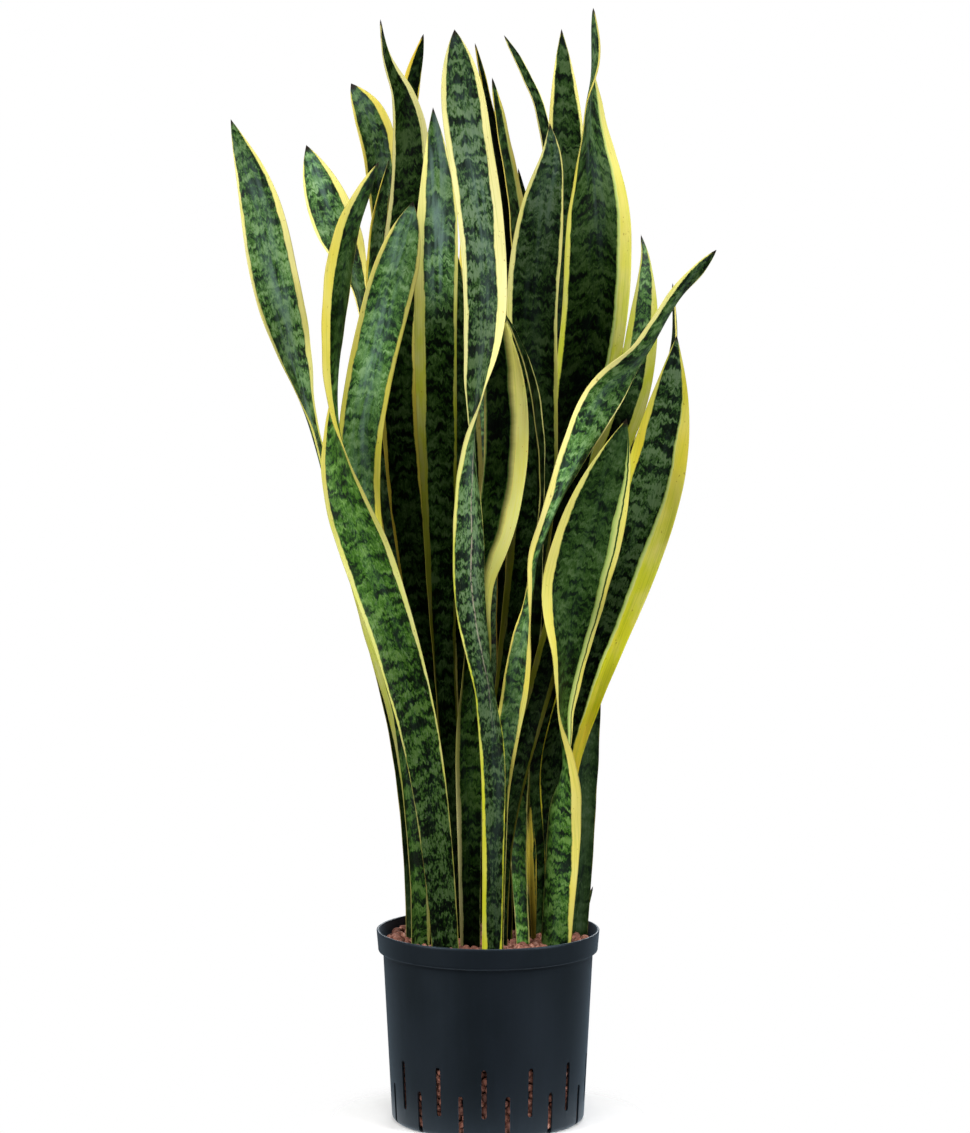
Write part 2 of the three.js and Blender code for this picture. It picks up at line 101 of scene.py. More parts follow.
world = bpy.data.worlds.new("studio")
bpy.context.scene.world = world
world.use_nodes = True
worldNodes, worldLinks = world.node_tree.nodes, world.node_tree.links
worldNodes["Background"].inputs["Color"].default_value = (1, 1, 1, 1)
seen = worldNodes.new("ShaderNodeLightPath").outputs["Is Camera Ray"]
strength = worldNodes.new("ShaderNodeMapRange")
worldLinks.new(seen, strength.inputs["Value"])
strength.inputs["To Min"].default_value = studio["ambient"]
strength.inputs["To Max"].default_value = studio["backdrop"]
worldLinks.new(strength.outputs[0], worldNodes["Background"].inputs["Strength"])

# Meshes and materials


# The cells of a grid of rows, closed round each row: the four corners' numbers, at (row, column).
def gridCells(rows, around):
    first = np.arange(rows - 1)[:, None] * around + np.arange(around)
    beside = np.roll(first, -1, axis=1)
    return np.stack([first, beside, beside + around, first + around], axis=-1)


# A fan over each end of such a grid, to a foot point and a top point that follow the grid's own points.
def endFans(rows, around):
    ring = np.arange(around)
    last = ring + (rows - 1) * around
    foot, top = np.full(around, rows * around), np.full(around, rows * around + 1)
    return [np.stack([np.roll(ring, -1), ring, foot], axis=-1),
            np.stack([last, np.roll(last, -1), top], axis=-1)]


# Values on such a grid, as one list, followed by the first row's mean and the last row's mean.
def closedValues(values):
    ends = np.stack([values[0].mean(axis=0), values[-1].mean(axis=0)])
    return np.vstack([values.reshape(-1, values.shape[-1]), ends])


# The skin of a grid of points (row, column, 3), with each end closed on the row's own middle.
def closedSkin(points):
    rows, around = points.shape[:2]
    return closedValues(points), [gridCells(rows, around).reshape(-1, 4), *endFans(rows, around)]


# A mesh from its points and faces, with vector values at the points, riding the plant.
def makePiece(name, points, faces, material, slot, nodes=(), values=None):
    mesh = bpy.data.meshes.new(name)
    corners = np.concatenate([part.ravel() for part in faces]).astype(np.int32)
    sizes = np.concatenate([np.full(len(part), part.shape[1]) for part in faces]).astype(np.int32)
    mesh.vertices.add(len(points))
    mesh.vertices.foreach_set("co", points.astype(np.float32).ravel())
    mesh.loops.add(len(corners))
    mesh.loops.foreach_set("vertex_index", corners)
    mesh.polygons.add(len(sizes))
    mesh.polygons.foreach_set("loop_start", (np.cumsum(sizes) - sizes).astype(np.int32))
    mesh.polygons.foreach_set("use_smooth", np.ones(len(sizes), bool))
    for label, numbers in (values or {}).items():
        attribute = mesh.attributes.new(label, "FLOAT_VECTOR", "POINT")
        attribute.data.foreach_set("vector", numbers.astype(np.float32).ravel())
    mesh.update(calc_edges=True)
    mesh.validate()
    mesh.materials.append(material)
    piece = placed(name, mesh)
    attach(piece, "root")
    if nodes:
        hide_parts(*nodes)
    return piece


def srgb(text):     # a colour written as rrggbb, in the linear values that the shader takes
    parts = [int(text[i:i + 2], 16) / 255 for i in (0, 2, 4)]
    return (*[v / 12.92 if v <= 0.04045 else ((v + 0.055) / 1.055) ** 2.4 for v in parts], 1)


# One material's node tree, with a short call for each kind of node. Arguments are numbers or sockets.
class Wiring:
    def __init__(self, name, **settings):
        self.material = bpy.data.materials.new(name)
        self.material.use_nodes = True
        self.tree = self.material.node_tree
        self.shader = self.tree.nodes["Principled BSDF"]
        for socket, value in settings.items():
            self.shader.inputs[socket.replace("_", " ")].default_value = value

    def new(self, kind):
        return self.tree.nodes.new("ShaderNode" + kind)

    def put(self, node, socket, value):
        if isinstance(value, bpy.types.NodeSocket):
            self.tree.links.new(value, node.inputs[socket])
        else:
            node.inputs[socket].default_value = value

    def math(self, operation, a, b=0.0, clamp=False):
        node = self.new("Math")
        node.operation, node.use_clamp = operation, clamp
        self.put(node, 0, a)
        self.put(node, 1, b)
        return node.outputs[0]

    def times(self, a, b):
        return self.math("MULTIPLY", a, b)

    def plus(self, a, b):
        return self.math("ADD", a, b)

    def minus(self, a, b):
        return self.math("SUBTRACT", a, b)

    def attribute(self, name):
        node = self.new("Attribute")
        node.attribute_name = name
        split = self.new("SeparateXYZ")
        self.put(split, 0, node.outputs["Vector"])
        return [node.outputs["Vector"], *split.outputs]

    def here(self):
        return self.new("TexCoord").outputs["Object"]

    def joined(self, x, y, z):
        node = self.new("CombineXYZ")
        for i, value in enumerate((x, y, z)):
            self.put(node, i, value)
        return node.outputs[0]

    def noise(self, vector, stretch, detail=2.0, roughness=0.5):
        scaled = self.new("VectorMath")
        scaled.operation = "MULTIPLY"
        self.put(scaled, 0, vector)
        self.put(scaled, 1, stretch)
        node = self.new("TexNoise")
        self.put(node, "Vector", scaled.outputs[0])
        self.put(node, "Scale", 1.0)
        self.put(node, "Detail", detail)
        self.put(node, "Roughness", roughness)
        return node.outputs["Fac"]

    def step(self, value, low, high, bottom=0.0, top=1.0):
        node = self.new("MapRange")
        node.interpolation_type = "SMOOTHSTEP"
        for socket, number in zip(range(5), (value, low, high, bottom, top)):
            self.put(node, socket, number)
        return node.outputs[0]

    def ramp(self, value, stops):
        node = self.new("ValToRGB")
        self.put(node, "Fac", value)
        while len(node.color_ramp.elements) < len(stops):
            node.color_ramp.elements.new(0.5)
        for element, (place, colour) in zip(node.color_ramp.elements, stops):
            element.position, element.color = place, srgb(colour)
        return node.outputs["Color"]

    def mix(self, share, a, b, kind="MIX"):
        node = self.new("Mix")
        node.data_type, node.blend_type = "RGBA", kind
        self.put(node, "Factor", share)
        self.put(node, 6, srgb(a) if isinstance(a, str) else a)
        self.put(node, 7, srgb(b) if isinstance(b, str) else b)
        return node.outputs[2]

    def tint(self, colour, by):
        return self.mix(1.0, colour, by, "MULTIPLY")

    def grey(self, value):
        return self.joined(value, value, value)

    def finish(self, colour, roughness=None, height=None, depth=0.0005, strength=1.0):
        self.put(self.shader, "Base Color", colour)
        if roughness is not None:
            self.put(self.shader, "Roughness", roughness)
        if height is not None:
            bump = self.new("Bump")
            self.put(bump, "Height", height)
            self.put(bump, "Distance", depth)
            self.put(bump, "Strength", strength)
            self.put(self.shader, "Normal", bump.outputs[0])
        return self.material


# The leaf's finish, from values at its points. In metres, leafPlace is (across, along) with the leaf's seed,
# leafEdges how far the left edge, the right edge and the tip are, and leafMargins how wide the left margin,
# the right one and its pale inner stripe are. The other values are the leaf's own lists.
leafLists = {
    "leafLook": ("toneAndShade", "marginLightAndShade", "gold"), "leafSheenAndShade": ("bloomAndSheen", "parted", "shade"),
    "leafMarks": ("dashed", "chevron", "contrast"), "leafHue": ("cool", "lime", "scar"),
}
leafColours = {
    "greens": [(0.39, "122012"), (0.445, "233f1d"), (0.49, "48702e"), (0.54, "628a43"), (0.62, "90b074")],
    "yellows": [(0.0, "e4e0a6"), (0.3, "e2da8c"), (0.6, "dfcd4e"), (1.0, "cc9c22")],
    "stripes": [(0.0, "7f9c4c"), (0.3, "a9bb68"), (0.9, "cfd27c")],
    "warm": (0.78, 1, 0.5, 1), "cool": (1.04, 1, 1.4, 1), "plain": (1, 1, 1, 1),
    "lime": (0.82, 0.95, 0.22, 1),
    "speck": "9dbd86", "sheenFilm": "86a69b", "scar": "9d9482", "line": "a8b148", "freckle": "8a6a24",
    "parting": "2c4a22", "shade": "1c2010", "border": "3d5a26", "edge": "7a6a34", "dry": "1d1610",
}


def makeLeafMaterial():
    w, dye = Wiring("leafWax"), leafColours
    place, acrossLeaf, along, seed = w.attribute("leafPlace")
    _, leftRoom, rightRoom, tipRoom = w.attribute("leafEdges")
    _, leftMargin, rightMargin, stripe = w.attribute("leafMargins")
    _, toneAndShade, marginLightAndShade, gold = w.attribute("leafLook")
    _, bloomAndSheen, parted, shade = w.attribute("leafSheenAndShade")
    _, dashed, chevron, contrast = w.attribute("leafMarks")
    _, cool, lime, scar = w.attribute("leafHue")

    def grain(x, y, detail=2.0, roughness=0.5):     # noise on the leaf, x times across and y along per metre
        return w.noise(place, (x, y, 1), detail, roughness)

    def sway(*sizes):       # the same, round zero
        return w.minus(grain(*sizes), 0.5)

    # how far from the green's border: above 0 in the green, below 0 in a yellow margin
    waver = sway(26, 30)
    ragged = sway(150, 240)
    wobble = w.plus(w.times(waver, 0.004), w.times(ragged, 0.0012))
    rightGreen = w.plus(w.minus(rightRoom, rightMargin), wobble)
    leftGreen = w.plus(w.minus(leftRoom, leftMargin), wobble)
    room = w.math("MINIMUM", leftGreen, rightGreen)

    # cross marks: rows that follow a zigzag or a chevron, broken into hooks, and fine dashes along the leaf
    wander = sway(0, 14, 1.0)
    middle = w.math("ABSOLUTE", w.plus(acrossLeaf, w.times(wander, 0.02)))
    shift = w.times(grain(60, 26, 1.0), 0.03)
    zigzag = w.times(w.math("PINGPONG", w.plus(acrossLeaf, shift), 0.0048), 0.7)
    slant = w.times(w.times(middle, 0.75), chevron)
    nudge = w.times(sway(330, 110, 2.0, 0.6), 0.012)
    pushed = w.plus(w.plus(along, nudge), w.plus(zigzag, slant))
    bands = w.noise(w.joined(w.times(acrossLeaf, 55), w.times(pushed, 150), seed), (1, 1, 1), 1.0)
    hooks = w.noise(w.joined(w.times(acrossLeaf, 190), w.times(pushed, 360),
                             w.plus(seed, 7.7)), (1, 1, 1), 2.0, 0.6)
    dashes = grain(620, 210, 2.0, 0.65)
    fine = w.mix(dashed, hooks, dashes)
    broad = sway(26, 17, 1.0)
    marks = w.plus(w.times(bands, 0.48), w.times(fine, 0.52))
    marks = w.times(w.minus(marks, 0.5), contrast)
    level = w.plus(w.plus(marks, 0.505), w.times(broad, 0.16))
    streak = w.step(middle, 0.0004, 0.0016, 0.03, 0.0)
    beside = w.step(room, 0.001, 0.006, 0.03, 0.0)
    level = w.minus(level, w.plus(streak, beside))
    green = w.ramp(level, dye["greens"])
    green = w.tint(green, w.mix(cool, dye["warm"], dye["cool"]))
    fibres = grain(2300, 42)
    green = w.tint(green, w.grey(w.step(fibres, 0.25, 0.75, 0.75, 1.15)))
    specks = w.step(grain(900, 260, 1.0), 0.56, 0.68, 0.0, 0.75)
    specks = w.times(specks, w.step(bands, 0.42, 0.6, 0.15, 1.0))
    green = w.mix(w.times(specks, dashed), green, dye["speck"])
    # a bluish waxy coat with a painted sheen: strongest along the leaf's middle, where a highlight falls
    sheenFilm = w.step(grain(210, 22, 3.0), 0.3, 0.75)
    sheenFilm = w.times(sheenFilm, w.step(middle, 0.002, 0.013, 1.0, 0.15))
    green = w.mix(w.times(sheenFilm, bloomAndSheen), green, dye["sheenFilm"])
    # the green's lightness, partly its own and partly painted shade and light, darkest deep in the clump and
    # towards the feet
    green = w.tint(green, w.grey(toneAndShade))
    healed = w.math("ABSOLUTE", w.plus(acrossLeaf, w.times(waver, 0.004)))
    healed = w.times(w.step(healed, 0.0003, 0.0009, 1.0, 0.0), w.step(dashes, 0.3, 0.5))
    green = w.mix(w.times(healed, scar), green, dye["scar"])

    # the yellow margins, lime to orange, with fine lines and freckles, and the right one's pale green inner
    # stripe, which a thin dark line may part from the yellow
    depth = w.math("ADD", gold, w.times(sway(60, 18), 0.4), clamp=True)
    yellow = w.ramp(depth, dye["yellows"])
    lines = w.step(grain(1500, 16, 1.0), 0.52, 0.66, 0.0, 0.35)
    yellow = w.mix(lines, yellow, dye["line"])
    lime = w.times(lime, w.step(grain(110, 36, 3.0), 0.3, 0.7, 0.55, 1.4))
    yellow = w.tint(yellow, w.mix(lime, dye["plain"], dye["lime"]))
    freckles = w.step(grain(520, 230, 1.0), 0.71, 0.77, 0.0, 0.55)
    yellow = w.mix(freckles, yellow, dye["freckle"])
    into = w.times(rightGreen, -1)
    share = w.math("DIVIDE", into, w.math("MAXIMUM", stripe, 0.0005))
    pale = w.ramp(w.plus(share, w.times(w.minus(lines, 0.15), 0.6)), dye["stripes"])
    inStripe = w.times(w.step(share, 0.75, 1.15, 1.0, 0.0), w.step(into, 0.0, 0.0003))
    inStripe = w.times(inStripe, w.step(stripe, 0.0003, 0.0015))
    yellow = w.mix(inStripe, yellow, pale)
    parting = w.step(w.math("ABSOLUTE", w.minus(into, stripe)), 0.0005, 0.0011, 1.0, 0.0)
    yellow = w.mix(w.times(parting, parted), yellow, dye["parting"])
    # painted shade on the yellow, darkest next to the green
    shadeHere = w.times(shade, w.step(w.times(room, -1), 0.0, 0.008, 1.0, 0.0))
    yellow = w.mix(w.times(shadeHere, 0.9), yellow, dye["shade"])
    # the yellow's lightness: painted light and shade on the margins
    yellow = w.tint(yellow, w.grey(marginLightAndShade))
    colour = w.mix(w.step(room, -0.00035, 0.00035, 1.0, 0.0), green, yellow)
    border = w.step(w.math("ABSOLUTE", room), 0.0, 0.0008, 0.55, 0.0)
    colour = w.mix(w.times(border, marginLightAndShade), colour, dye["border"])

    # the edge's thin brown line, and the dry dark point
    edge = w.math("MINIMUM", leftRoom, rightRoom)
    colour = w.mix(w.step(edge, 0.0001, 0.0006, 0.4, 0.0), colour, dye["edge"])
    dry = w.plus(tipRoom, w.times(w.minus(fibres, 0.5), 0.008))
    colour = w.mix(w.step(dry, 0.003, 0.009, 1.0, 0.0), colour, dye["dry"])

    w.put(w.shader, "Specular IOR Level", w.step(toneAndShade, 0.05, 0.7, 0.015, 0.16))
    shine = w.plus(0.3, w.times(fibres, 0.25))
    height = w.plus(w.times(fibres, 0.7), w.times(level, 0.5))
    return w.finish(colour, shine, height, 0.0004, 0.5)


# The leaves

blade = {
    "rootDepth": 43, "baseShare": 0.44, "tipLength": 150, "tipPower": 2.2, "rootThickness": 4,
    "topThickness": 1.9, "edgeThickness": 1, "needle": 0.5, "pointLength": 4, "pointShare": 0.02,
    "rootHollow": 0.5, "topHollow": 0.2, "waveDepth": 1.6, "waveLength": 210, "waveStart": 250,
    "rippleDepth": 0.35, "rippleLength": 47, "step": 8, "fewestRows": 8, "tipRows": 26, "tipCrowding": 1.5,
    "around": 44, "spineSteps": 401, "marginLightAndShade": [0.2, 0.8, 1], "gold": 0.4, "bloomAndSheen": 0.1, "stripe": 0,
    "parted": 0, "shade": 0, "dashed": [0.5, 0.3], "chevron": 0.3, "contrast": 1.2, "cool": 0.4,
    "lime": 0, "scar": 0,
}
soil = 183
# Each leaf has its own sizes, and the blade's where it has none. Stations are [x, y, z, facing] from the clay
# to the tip, with facing in degrees about Z. The other lists are evenly spread from foot to tip: the widths
# of the left and right margins and of the right one's pale stripe, how light the green is (tone: partly the
# leaf's own lightness and partly painted shade and light, darkest deep in the clump and towards the feet),
# how light the yellow is (glow: painted light and shade on the margins), how deep the yellow is (gold, from
# cream at 0 to orange at 1) and how greenish (lime), the waxy coat with a painted sheen along the middle
# (bloom), the dark line beside the stripe (parted), the painted shade beside the green (shade), whether fine
# marks lie across the leaf or are dashes along it (dashed), how far the marks slant (chevron) and stand out
# (contrast), how bluish the green is (cool), and a long healed scratch (scar).
leaves = {
    "leaf_outer_left": dict(width=46, left=[0.5, 0.5, 1, 9, 13, 6, 3, 3, 3, 3],
        right=[1.5, 3.5, 3, 4, 5, 6, 6], toneAndShade=[0.18, 0.5, 0.5, 0.35, 0.38, 0.38, 0.35, 0.7, 1.1, 0.62, 0.37],
        marginLightAndShade=[0.3, 0.6, 0.9, 1, 1.1, 1.1], gold=[0.1, 0.1, 0.2, 0.3, 0.3, 0.35],
        lime=[0.6, 0.6, 0.6, 0.5, 0, 0.1], cool=[0, -0.1, 0, 0.3, 0.5, 0.4],
        bloomAndSheen=[0, 0.1, 0.3, 0.5, 0.6, 0.2], dashed=[0.3, 0.5, 1, 0.8, 0.5], contrast=[1.8, 1.5, 1.3, 1.3],
        path=[[-69, -47, soil, 30], [-71, -48, 269, 32], [-87, -51, 404, 38], [-118, -55, 508, 48],
        [-144, -59, 597, 66], [-169, -63, 686, 84], [-189, -73, 764, 50], [-205, -85, 837, 16],
        [-221, -97, 924, 0], [-246, -105, 996, 0]]),
    "leaf_left_twist": dict(width=60, left=[0.4, 0.4, 1.2, 4, 5, 3, 2.5],
        right=[0.4, 0.5, 0.8, 2.2, 5.5, 7, 10, 13, 11],
        toneAndShade=[0.17, 0.15, 0.21, 0.25, 0.32, 0.62, 0.7, 0.48, 0.13, 0.24, 0.5],
        marginLightAndShade=[0.1, 0.35, 0.8, 0.9, 0.7, 0.85, 0.9], gold=[0.5, 0.2, 0.2, 0.1, 0.5, 0.55, 0.4],
        lime=[0.6, 0.6, 0.4, 0.5, 0.3, 0.1, 0.1], cool=[0.3, 0.3, 0.1, -0.3, -0.4, 0, 0.3, 0.3],
        bloomAndSheen=[0, 0.05, 0.1, 0.1, 0.1, 0.1, 0.1], dashed=[1, 1, 0.5, 0.2, 0.2],
        contrast=[2, 1.9, 1.5, 0.9, 1, 0.8, 1],
        path=[[-41, -76, soil, -5], [-49, -80, 285, -5], [-63, -87, 384, 0], [-85, -96, 478, 0],
        [-113, -107, 569, -4], [-137, -117, 650, -50], [-145, -122, 727, -90], [-141, -126, 824, -113],
        [-130, -129, 891, -122], [-104, -132, 956, -128]]),
    "leaf_left_rear": dict(width=46, tipLength=110, tipPower=3, left=[0.5, 1, 2, 3, 3.5, 3.5],
        right=[0.5, 2, 5, 7, 8, 8, 7], toneAndShade=[0.03, 0.05, 0.1, 0.3, 0.38, 0.75, 1.3],
        marginLightAndShade=[0.1, 0.4, 1.9, 1.3], gold=[0.5, 0.4], cool=0.7, bloomAndSheen=[0.1, 0.3, 0.6, 0.3],
        path=[[-73, 36, soil, 50], [-83, 38, 296, 50], [-93, 40, 417, 55], [-106, 41, 528, 60],
        [-115, 43, 648, 68], [-117, 45, 747, 74], [-130, 44, 828, 66], [-152, 38, 891, 20],
        [-179, 30, 969, 0]]),
    "leaf_bright_left": dict(width=46, tipLength=110, tipPower=3, left=[0.5, 2, 4, 4, 5, 4],
        right=[0.5, 3, 7, 7, 6, 4, 3], toneAndShade=[0.05, 0.2, 0.5, 0.7, 1.1, 1],
        marginLightAndShade=[0.1, 0.6, 1.05, 1.2, 0.85, 0.9], gold=[0.3, 0.4, 0.6, 0.5, 0.35],
        lime=[1, 0.9, 0.45, 0.3, 0.1], cool=[0, 0, 0.5, 0.7], bloomAndSheen=[0.1, 0.3, 0.5, 0.5], contrast=0.8,
        path=[[-50, -38, soil, 0], [-56, -35, 269, 0], [-74, -29, 384, 0], [-98, -22, 488, 0],
        [-121, -20, 587, -8], [-126, -26, 670, 0], [-116, -38, 744, 0], [-99, -59, 817, 0],
        [-84, -76, 870, 0], [-72, -87, 917, 0]]),
    "leaf_tall_dark": dict(width=43, left=[0.5, 0.5, 1, 2, 4, 5, 4, 4], right=[0.5, 0.5, 1, 2, 5, 7, 7, 5],
        toneAndShade=[0.03, 0.06, 0.09, 0.08, 0.07, 0.11, 0.09], marginLightAndShade=[0.05, 0.1, 0.3, 0.5, 0.6, 0.65],
        gold=[0.8, 0.8, 0.8, 0.6, 0.25, 0.25], cool=0.2, bloomAndSheen=0,
        path=[[-36, 8, soil, 15], [-42, 8, 280, 15], [-55, 7, 401, 15], [-70, 6, 521, 12], [-83, 5, 640, 10],
        [-89, 4, 749, 8], [-84, 2, 847, 4], [-77, 0, 925, 20], [-79, -2, 980, 36], [-85, -4, 1014, 52],
        [-95, -6, 1040, 66], [-102, -7, 1064, 74], [-105, -7, 1092, 74]]),
    "leaf_centre_left": dict(width=42, left=[0.5, 1, 2, 4, 6.5, 9, 11, 8, 4],
        right=[0.5, 1, 2, 2.5, 3, 3, 3],
        toneAndShade=[0.03, 0.04, 0.05, 0.07, 0.1, 0.11, 0.13, 0.16, 0.18, 0.18, 0.13, 0.1, 0.12, 0.2, 1, 0.6, 0.47,
            0.33],
        marginLightAndShade=[0.05, 0.08, 0.12, 0.15, 0.22, 0.27, 0.5, 1.1, 1.05],
        gold=[0.2, 0.2, 0.2, 0.3, 0.3, 0.3, 0.3, 0.3], lime=[1.2, 1.2, 1, 1, 0.9, 0.7, 0.2, 0],
        cool=[0.3, 0.3, 0.3, 0.3, 0.3, 0.2, 0.7, 0.2], bloomAndSheen=[0, 0, 0, 0, 0, 0, 0, 0.9, 0.9],
        path=[[-28, -24, soil, 24], [-34, -26, 276, 32], [-41, -30, 386, 38], [-47, -35, 486, 36],
        [-48, -41, 585, 22], [-50, -48, 684, 8], [-51, -56, 782, 0], [-50, -64, 869, 0], [-49, -70, 937, 0],
        [-53, -76, 1007, 0]]),
    "leaf_rear_tip_left": dict(width=40, tipLength=90, tipPower=3.5, left=[0.5, 1, 3, 3],
        right=[0.5, 3, 8, 9, 8], toneAndShade=[0.03, 0.04, 0.1, 0.4, 0.5], marginLightAndShade=[0.1, 0.3, 0.9, 1], gold=0.5,
        bloomAndSheen=[0.1, 0.2, 0.5],
        path=[[-52, 58, soil, 40], [-56, 62, 271, 42], [-67, 68, 402, 46], [-79, 74, 533, 50],
        [-89, 82, 663, 50], [-97, 90, 783, 46], [-102, 98, 883, 40], [-109, 104, 958, 30],
        [-119, 107, 997, 14], [-137, 110, 1029, 0]]),
    "leaf_dark_sliver": dict(width=34, left=[0.5, 1, 3, 3.5], right=[0.5, 2, 2, 2],
        toneAndShade=[0.03, 0.18, 0.48, 0.9], marginLightAndShade=[0.1, 0.3, 0.8, 1], gold=0.6, cool=0.6,
        path=[[-56, 14, soil, 50], [-64, 18, 279, 52], [-77, 22, 399, 54], [-91, 24, 519, 56],
        [-105, 19, 639, 58], [-114, 12, 748, 60], [-113, 12, 836, 58], [-107, 14, 900, 50],
        [-97, 18, 956, 40]]),
    "leaf_rear_edge_on": dict(width=34, tipLength=110, tipPower=2.6, left=[0.5, 1, 3, 6, 7],
        right=[0.5, 1, 1, 1], toneAndShade=[0.02, 0.04, 0.08, 0.1], marginLightAndShade=[0.1, 0.3, 0.9, 1], gold=0.75,
        path=[[-32, 36, soil, 60], [-39, 38, 275, 62], [-50, 42, 416, 64], [-63, 48, 556, 66],
        [-76, 54, 686, 68], [-85, 61, 805, 70], [-88, 67, 914, 70], [-83, 72, 1003, 62], [-64, 76, 1078, 45]]),
    "leaf_front_twist": dict(width=44, tipLength=105, tipPower=3,
        left=[1.5, 1.5, 1, 0.4, 0.6, 2, 4, 4.5, 5, 5], right=[4, 4.5, 3, 0.8, 1.5, 4, 8, 10.5, 7, 5],
        toneAndShade=[0.08, 0.11, 0.13, 0.19, 0.23, 0.25, 0.28, 0.34, 0.45, 0.55, 0.58, 0.35, 0.27, 0.34, 0.4, 0.42,
            0.4, 0.34, 0.3],
        marginLightAndShade=[0.6, 0.8, 1, 1.05, 0.9, 0.85], gold=[0.5, 0.45, 0.3, 0.3, 0.2, 0.2, 0.3],
        lime=[0.9, 0.9, 0.8, 0.1, 0, 0], cool=[0.3, 0.5, 0.6, 0.6, 0.7, 0.5, 0.5, 0.9, 0.9, 0.5],
        bloomAndSheen=[0.2, 0.3, 0.2, 0.3, 0.6, 0.3], scar=[0, 0, 0, 0, 0.5, 0.9, 0.8, 0, 0, 0, 0, 0],
        dashed=[1, 1, 0.9, 0.8, 0.5], contrast=1.7,
        path=[[4, -88, soil, -176], [5, -90, 277, -178], [5, -92, 370, -176], [0, -94, 444, -140],
        [-15, -97, 528, -160], [-17, -100, 601, -152], [-15, -104, 674, -112], [-9, -107, 737, -58],
        [-2, -111, 814, -14], [-7, -115, 900, 0], [-20, -119, 986, 0], [-32, -124, 1081, 0]]),
    "leaf_rear_needle": dict(width=30, left=[0.5, 1, 1.5], right=[0.5, 1, 2.5, 3],
        toneAndShade=[0.02, 0.03, 0.04, 0.05], marginLightAndShade=[0.05, 0.2, 0.7, 0.8], gold=0.8,
        path=[[8, 20, soil, 62], [9, 21, 287, 62], [10, 22, 418, 64], [11, 25, 548, 66], [12, 30, 677, 66],
        [15, 37, 796, 66], [17, 46, 895, 66], [7, 50, 964, 64], [-13, 56, 1069, 60]]),
    "leaf_curled_needle": dict(width=33, left=[0.5, 1, 2], right=[0.5, 1, 2, 5, 10, 10, 7],
        stripe=[0, 0, 0, 1, 3], toneAndShade=[0.02, 0.04, 0.1, 0.3, 0.4], marginLightAndShade=[0.05, 0.2, 0.8, 1], gold=0.5,
        path=[[26, 36, soil, 50], [24, 40, 285, 50], [27, 43, 416, 52], [30, 45, 547, 54], [33, 47, 677, 56],
        [34, 48, 796, 58], [27, 48, 900, 60], [14, 50, 973, 56], [4, 52, 1035, 46]]),
    "leaf_rear_small_tip": dict(width=28, left=[0.5, 1], right=[0.5, 1], toneAndShade=[0.02, 0.05, 0.1],
        marginLightAndShade=[0.1, 0.5], gold=0.6,
        path=[[28, 60, soil, 45], [33, 64, 281, 48], [38, 70, 412, 50], [43, 76, 543, 52], [46, 82, 673, 52],
        [45, 87, 793, 50], [40, 90, 873, 46], [30, 93, 945, 40]]),
    "leaf_rear_lean_left": dict(width=34, left=[0.5, 1, 2, 2.5], right=[0.5, 1, 2, 2.5],
        toneAndShade=[0.02, 0.05, 0.13, 0.22], marginLightAndShade=[0.1, 0.4, 1, 1], gold=0.3,
        path=[[48, 55, soil, 66], [48, 57, 280, 68], [54, 64, 411, 70], [62, 77, 542, 71], [67, 86, 672, 72],
        [70, 95, 792, 72], [66, 104, 902, 72], [53, 112, 992, 68], [38, 116, 1034, 54], [16, 120, 1077, 30]]),
    "leaf_rear_upright": dict(width=38, left=[3, 6, 3, 1, 1, 2, 3, 4, 4], right=[0.5, 1, 2, 2.5, 3, 3],
        toneAndShade=[0.02, 0.03, 0.06, 0.13, 0.18], marginLightAndShade=[0.9, 1.2, 0.3, 0.3, 0.8, 1], gold=[0.6, 0.6, 0.4, 0.4],
        path=[[41, 32, soil, 20], [46, 35, 285, 24], [57, 42, 416, 30], [64, 50, 556, 30], [71, 58, 685, 28],
        [76, 66, 805, 22], [78, 73, 904, 12], [77, 79, 993, 0], [73, 84, 1083, 0]]),
    "leaf_centre_right": dict(width=50, left=[0.5, 1, 3, 7, 7, 5, 4], right=[0.5, 1, 2, 3, 3.5, 3, 2],
        toneAndShade=[0.03, 0.04, 0.06, 0.08, 0.09, 0.07, 0.09, 0.14, 0.34],
        marginLightAndShade=[0.05, 0.1, 0.12, 0.12, 0.12, 0.2, 0.75, 0.7, 0.8], gold=0.3,
        lime=[1, 1, 1, 0.8, 0.5, 0.1, 0.1], cool=[0.4, 0.4, 0.4, 0.3, 1.2],
        bloomAndSheen=[0, 0, 0, 0, 0, 0.1, 0.2, 0.3, 0.8],
        path=[[13, -22, soil, 0], [13, -23, 285, 0], [18, -24, 385, -6], [27, -25, 465, -8],
        [38, -26, 554, -6], [45, -27, 643, 0], [44, -28, 731, 0], [43, -30, 819, 0], [52, -32, 905, 0],
        [61, -33, 957, 0], [60, -34, 991, 0]]),
    "leaf_yellow_bow": dict(width=44, left=[1.5, 4, 5, 4, 1, 1, 2, 3, 4],
        right=[0.5, 0.5, 1, 1, 4, 17, 18, 16, 9], toneAndShade=[0.02, 0.06, 0.25, 0.45, 0.12, 0.2, 0.07, 0.05, 0.05],
        marginLightAndShade=[0.3, 0.9, 1.3, 1.2, 1.1, 1.6, 1.7, 1.2, 1.1], gold=[0.2, 0.2, 0.3, 0.35, 0.4],
        lime=[0.2, 0, 0, 0.4, 0.5, 0.25, 0.15, 0.25, 0.4], cool=[-0.5, -0.5, -0.3, 0, 0],
        shade=[0.3, 0.7, 1, 1],
        path=[[-18, -58, soil, 8], [-19, -58, 281, 8], [-18, -59, 380, 10], [-14, -61, 469, 38],
        [-14, -64, 539, 44], [6, -68, 603, 22], [16, -72, 666, 10], [16, -76, 730, 6], [10, -79, 783, 0],
        [-2, -82, 834, 0]]),
    "leaf_thin_edge_on": dict(width=30, left=[0.3, 0.3, 0.8, 1.5], right=[1.3, 1, 0.6, 0.8, 1.5, 2],
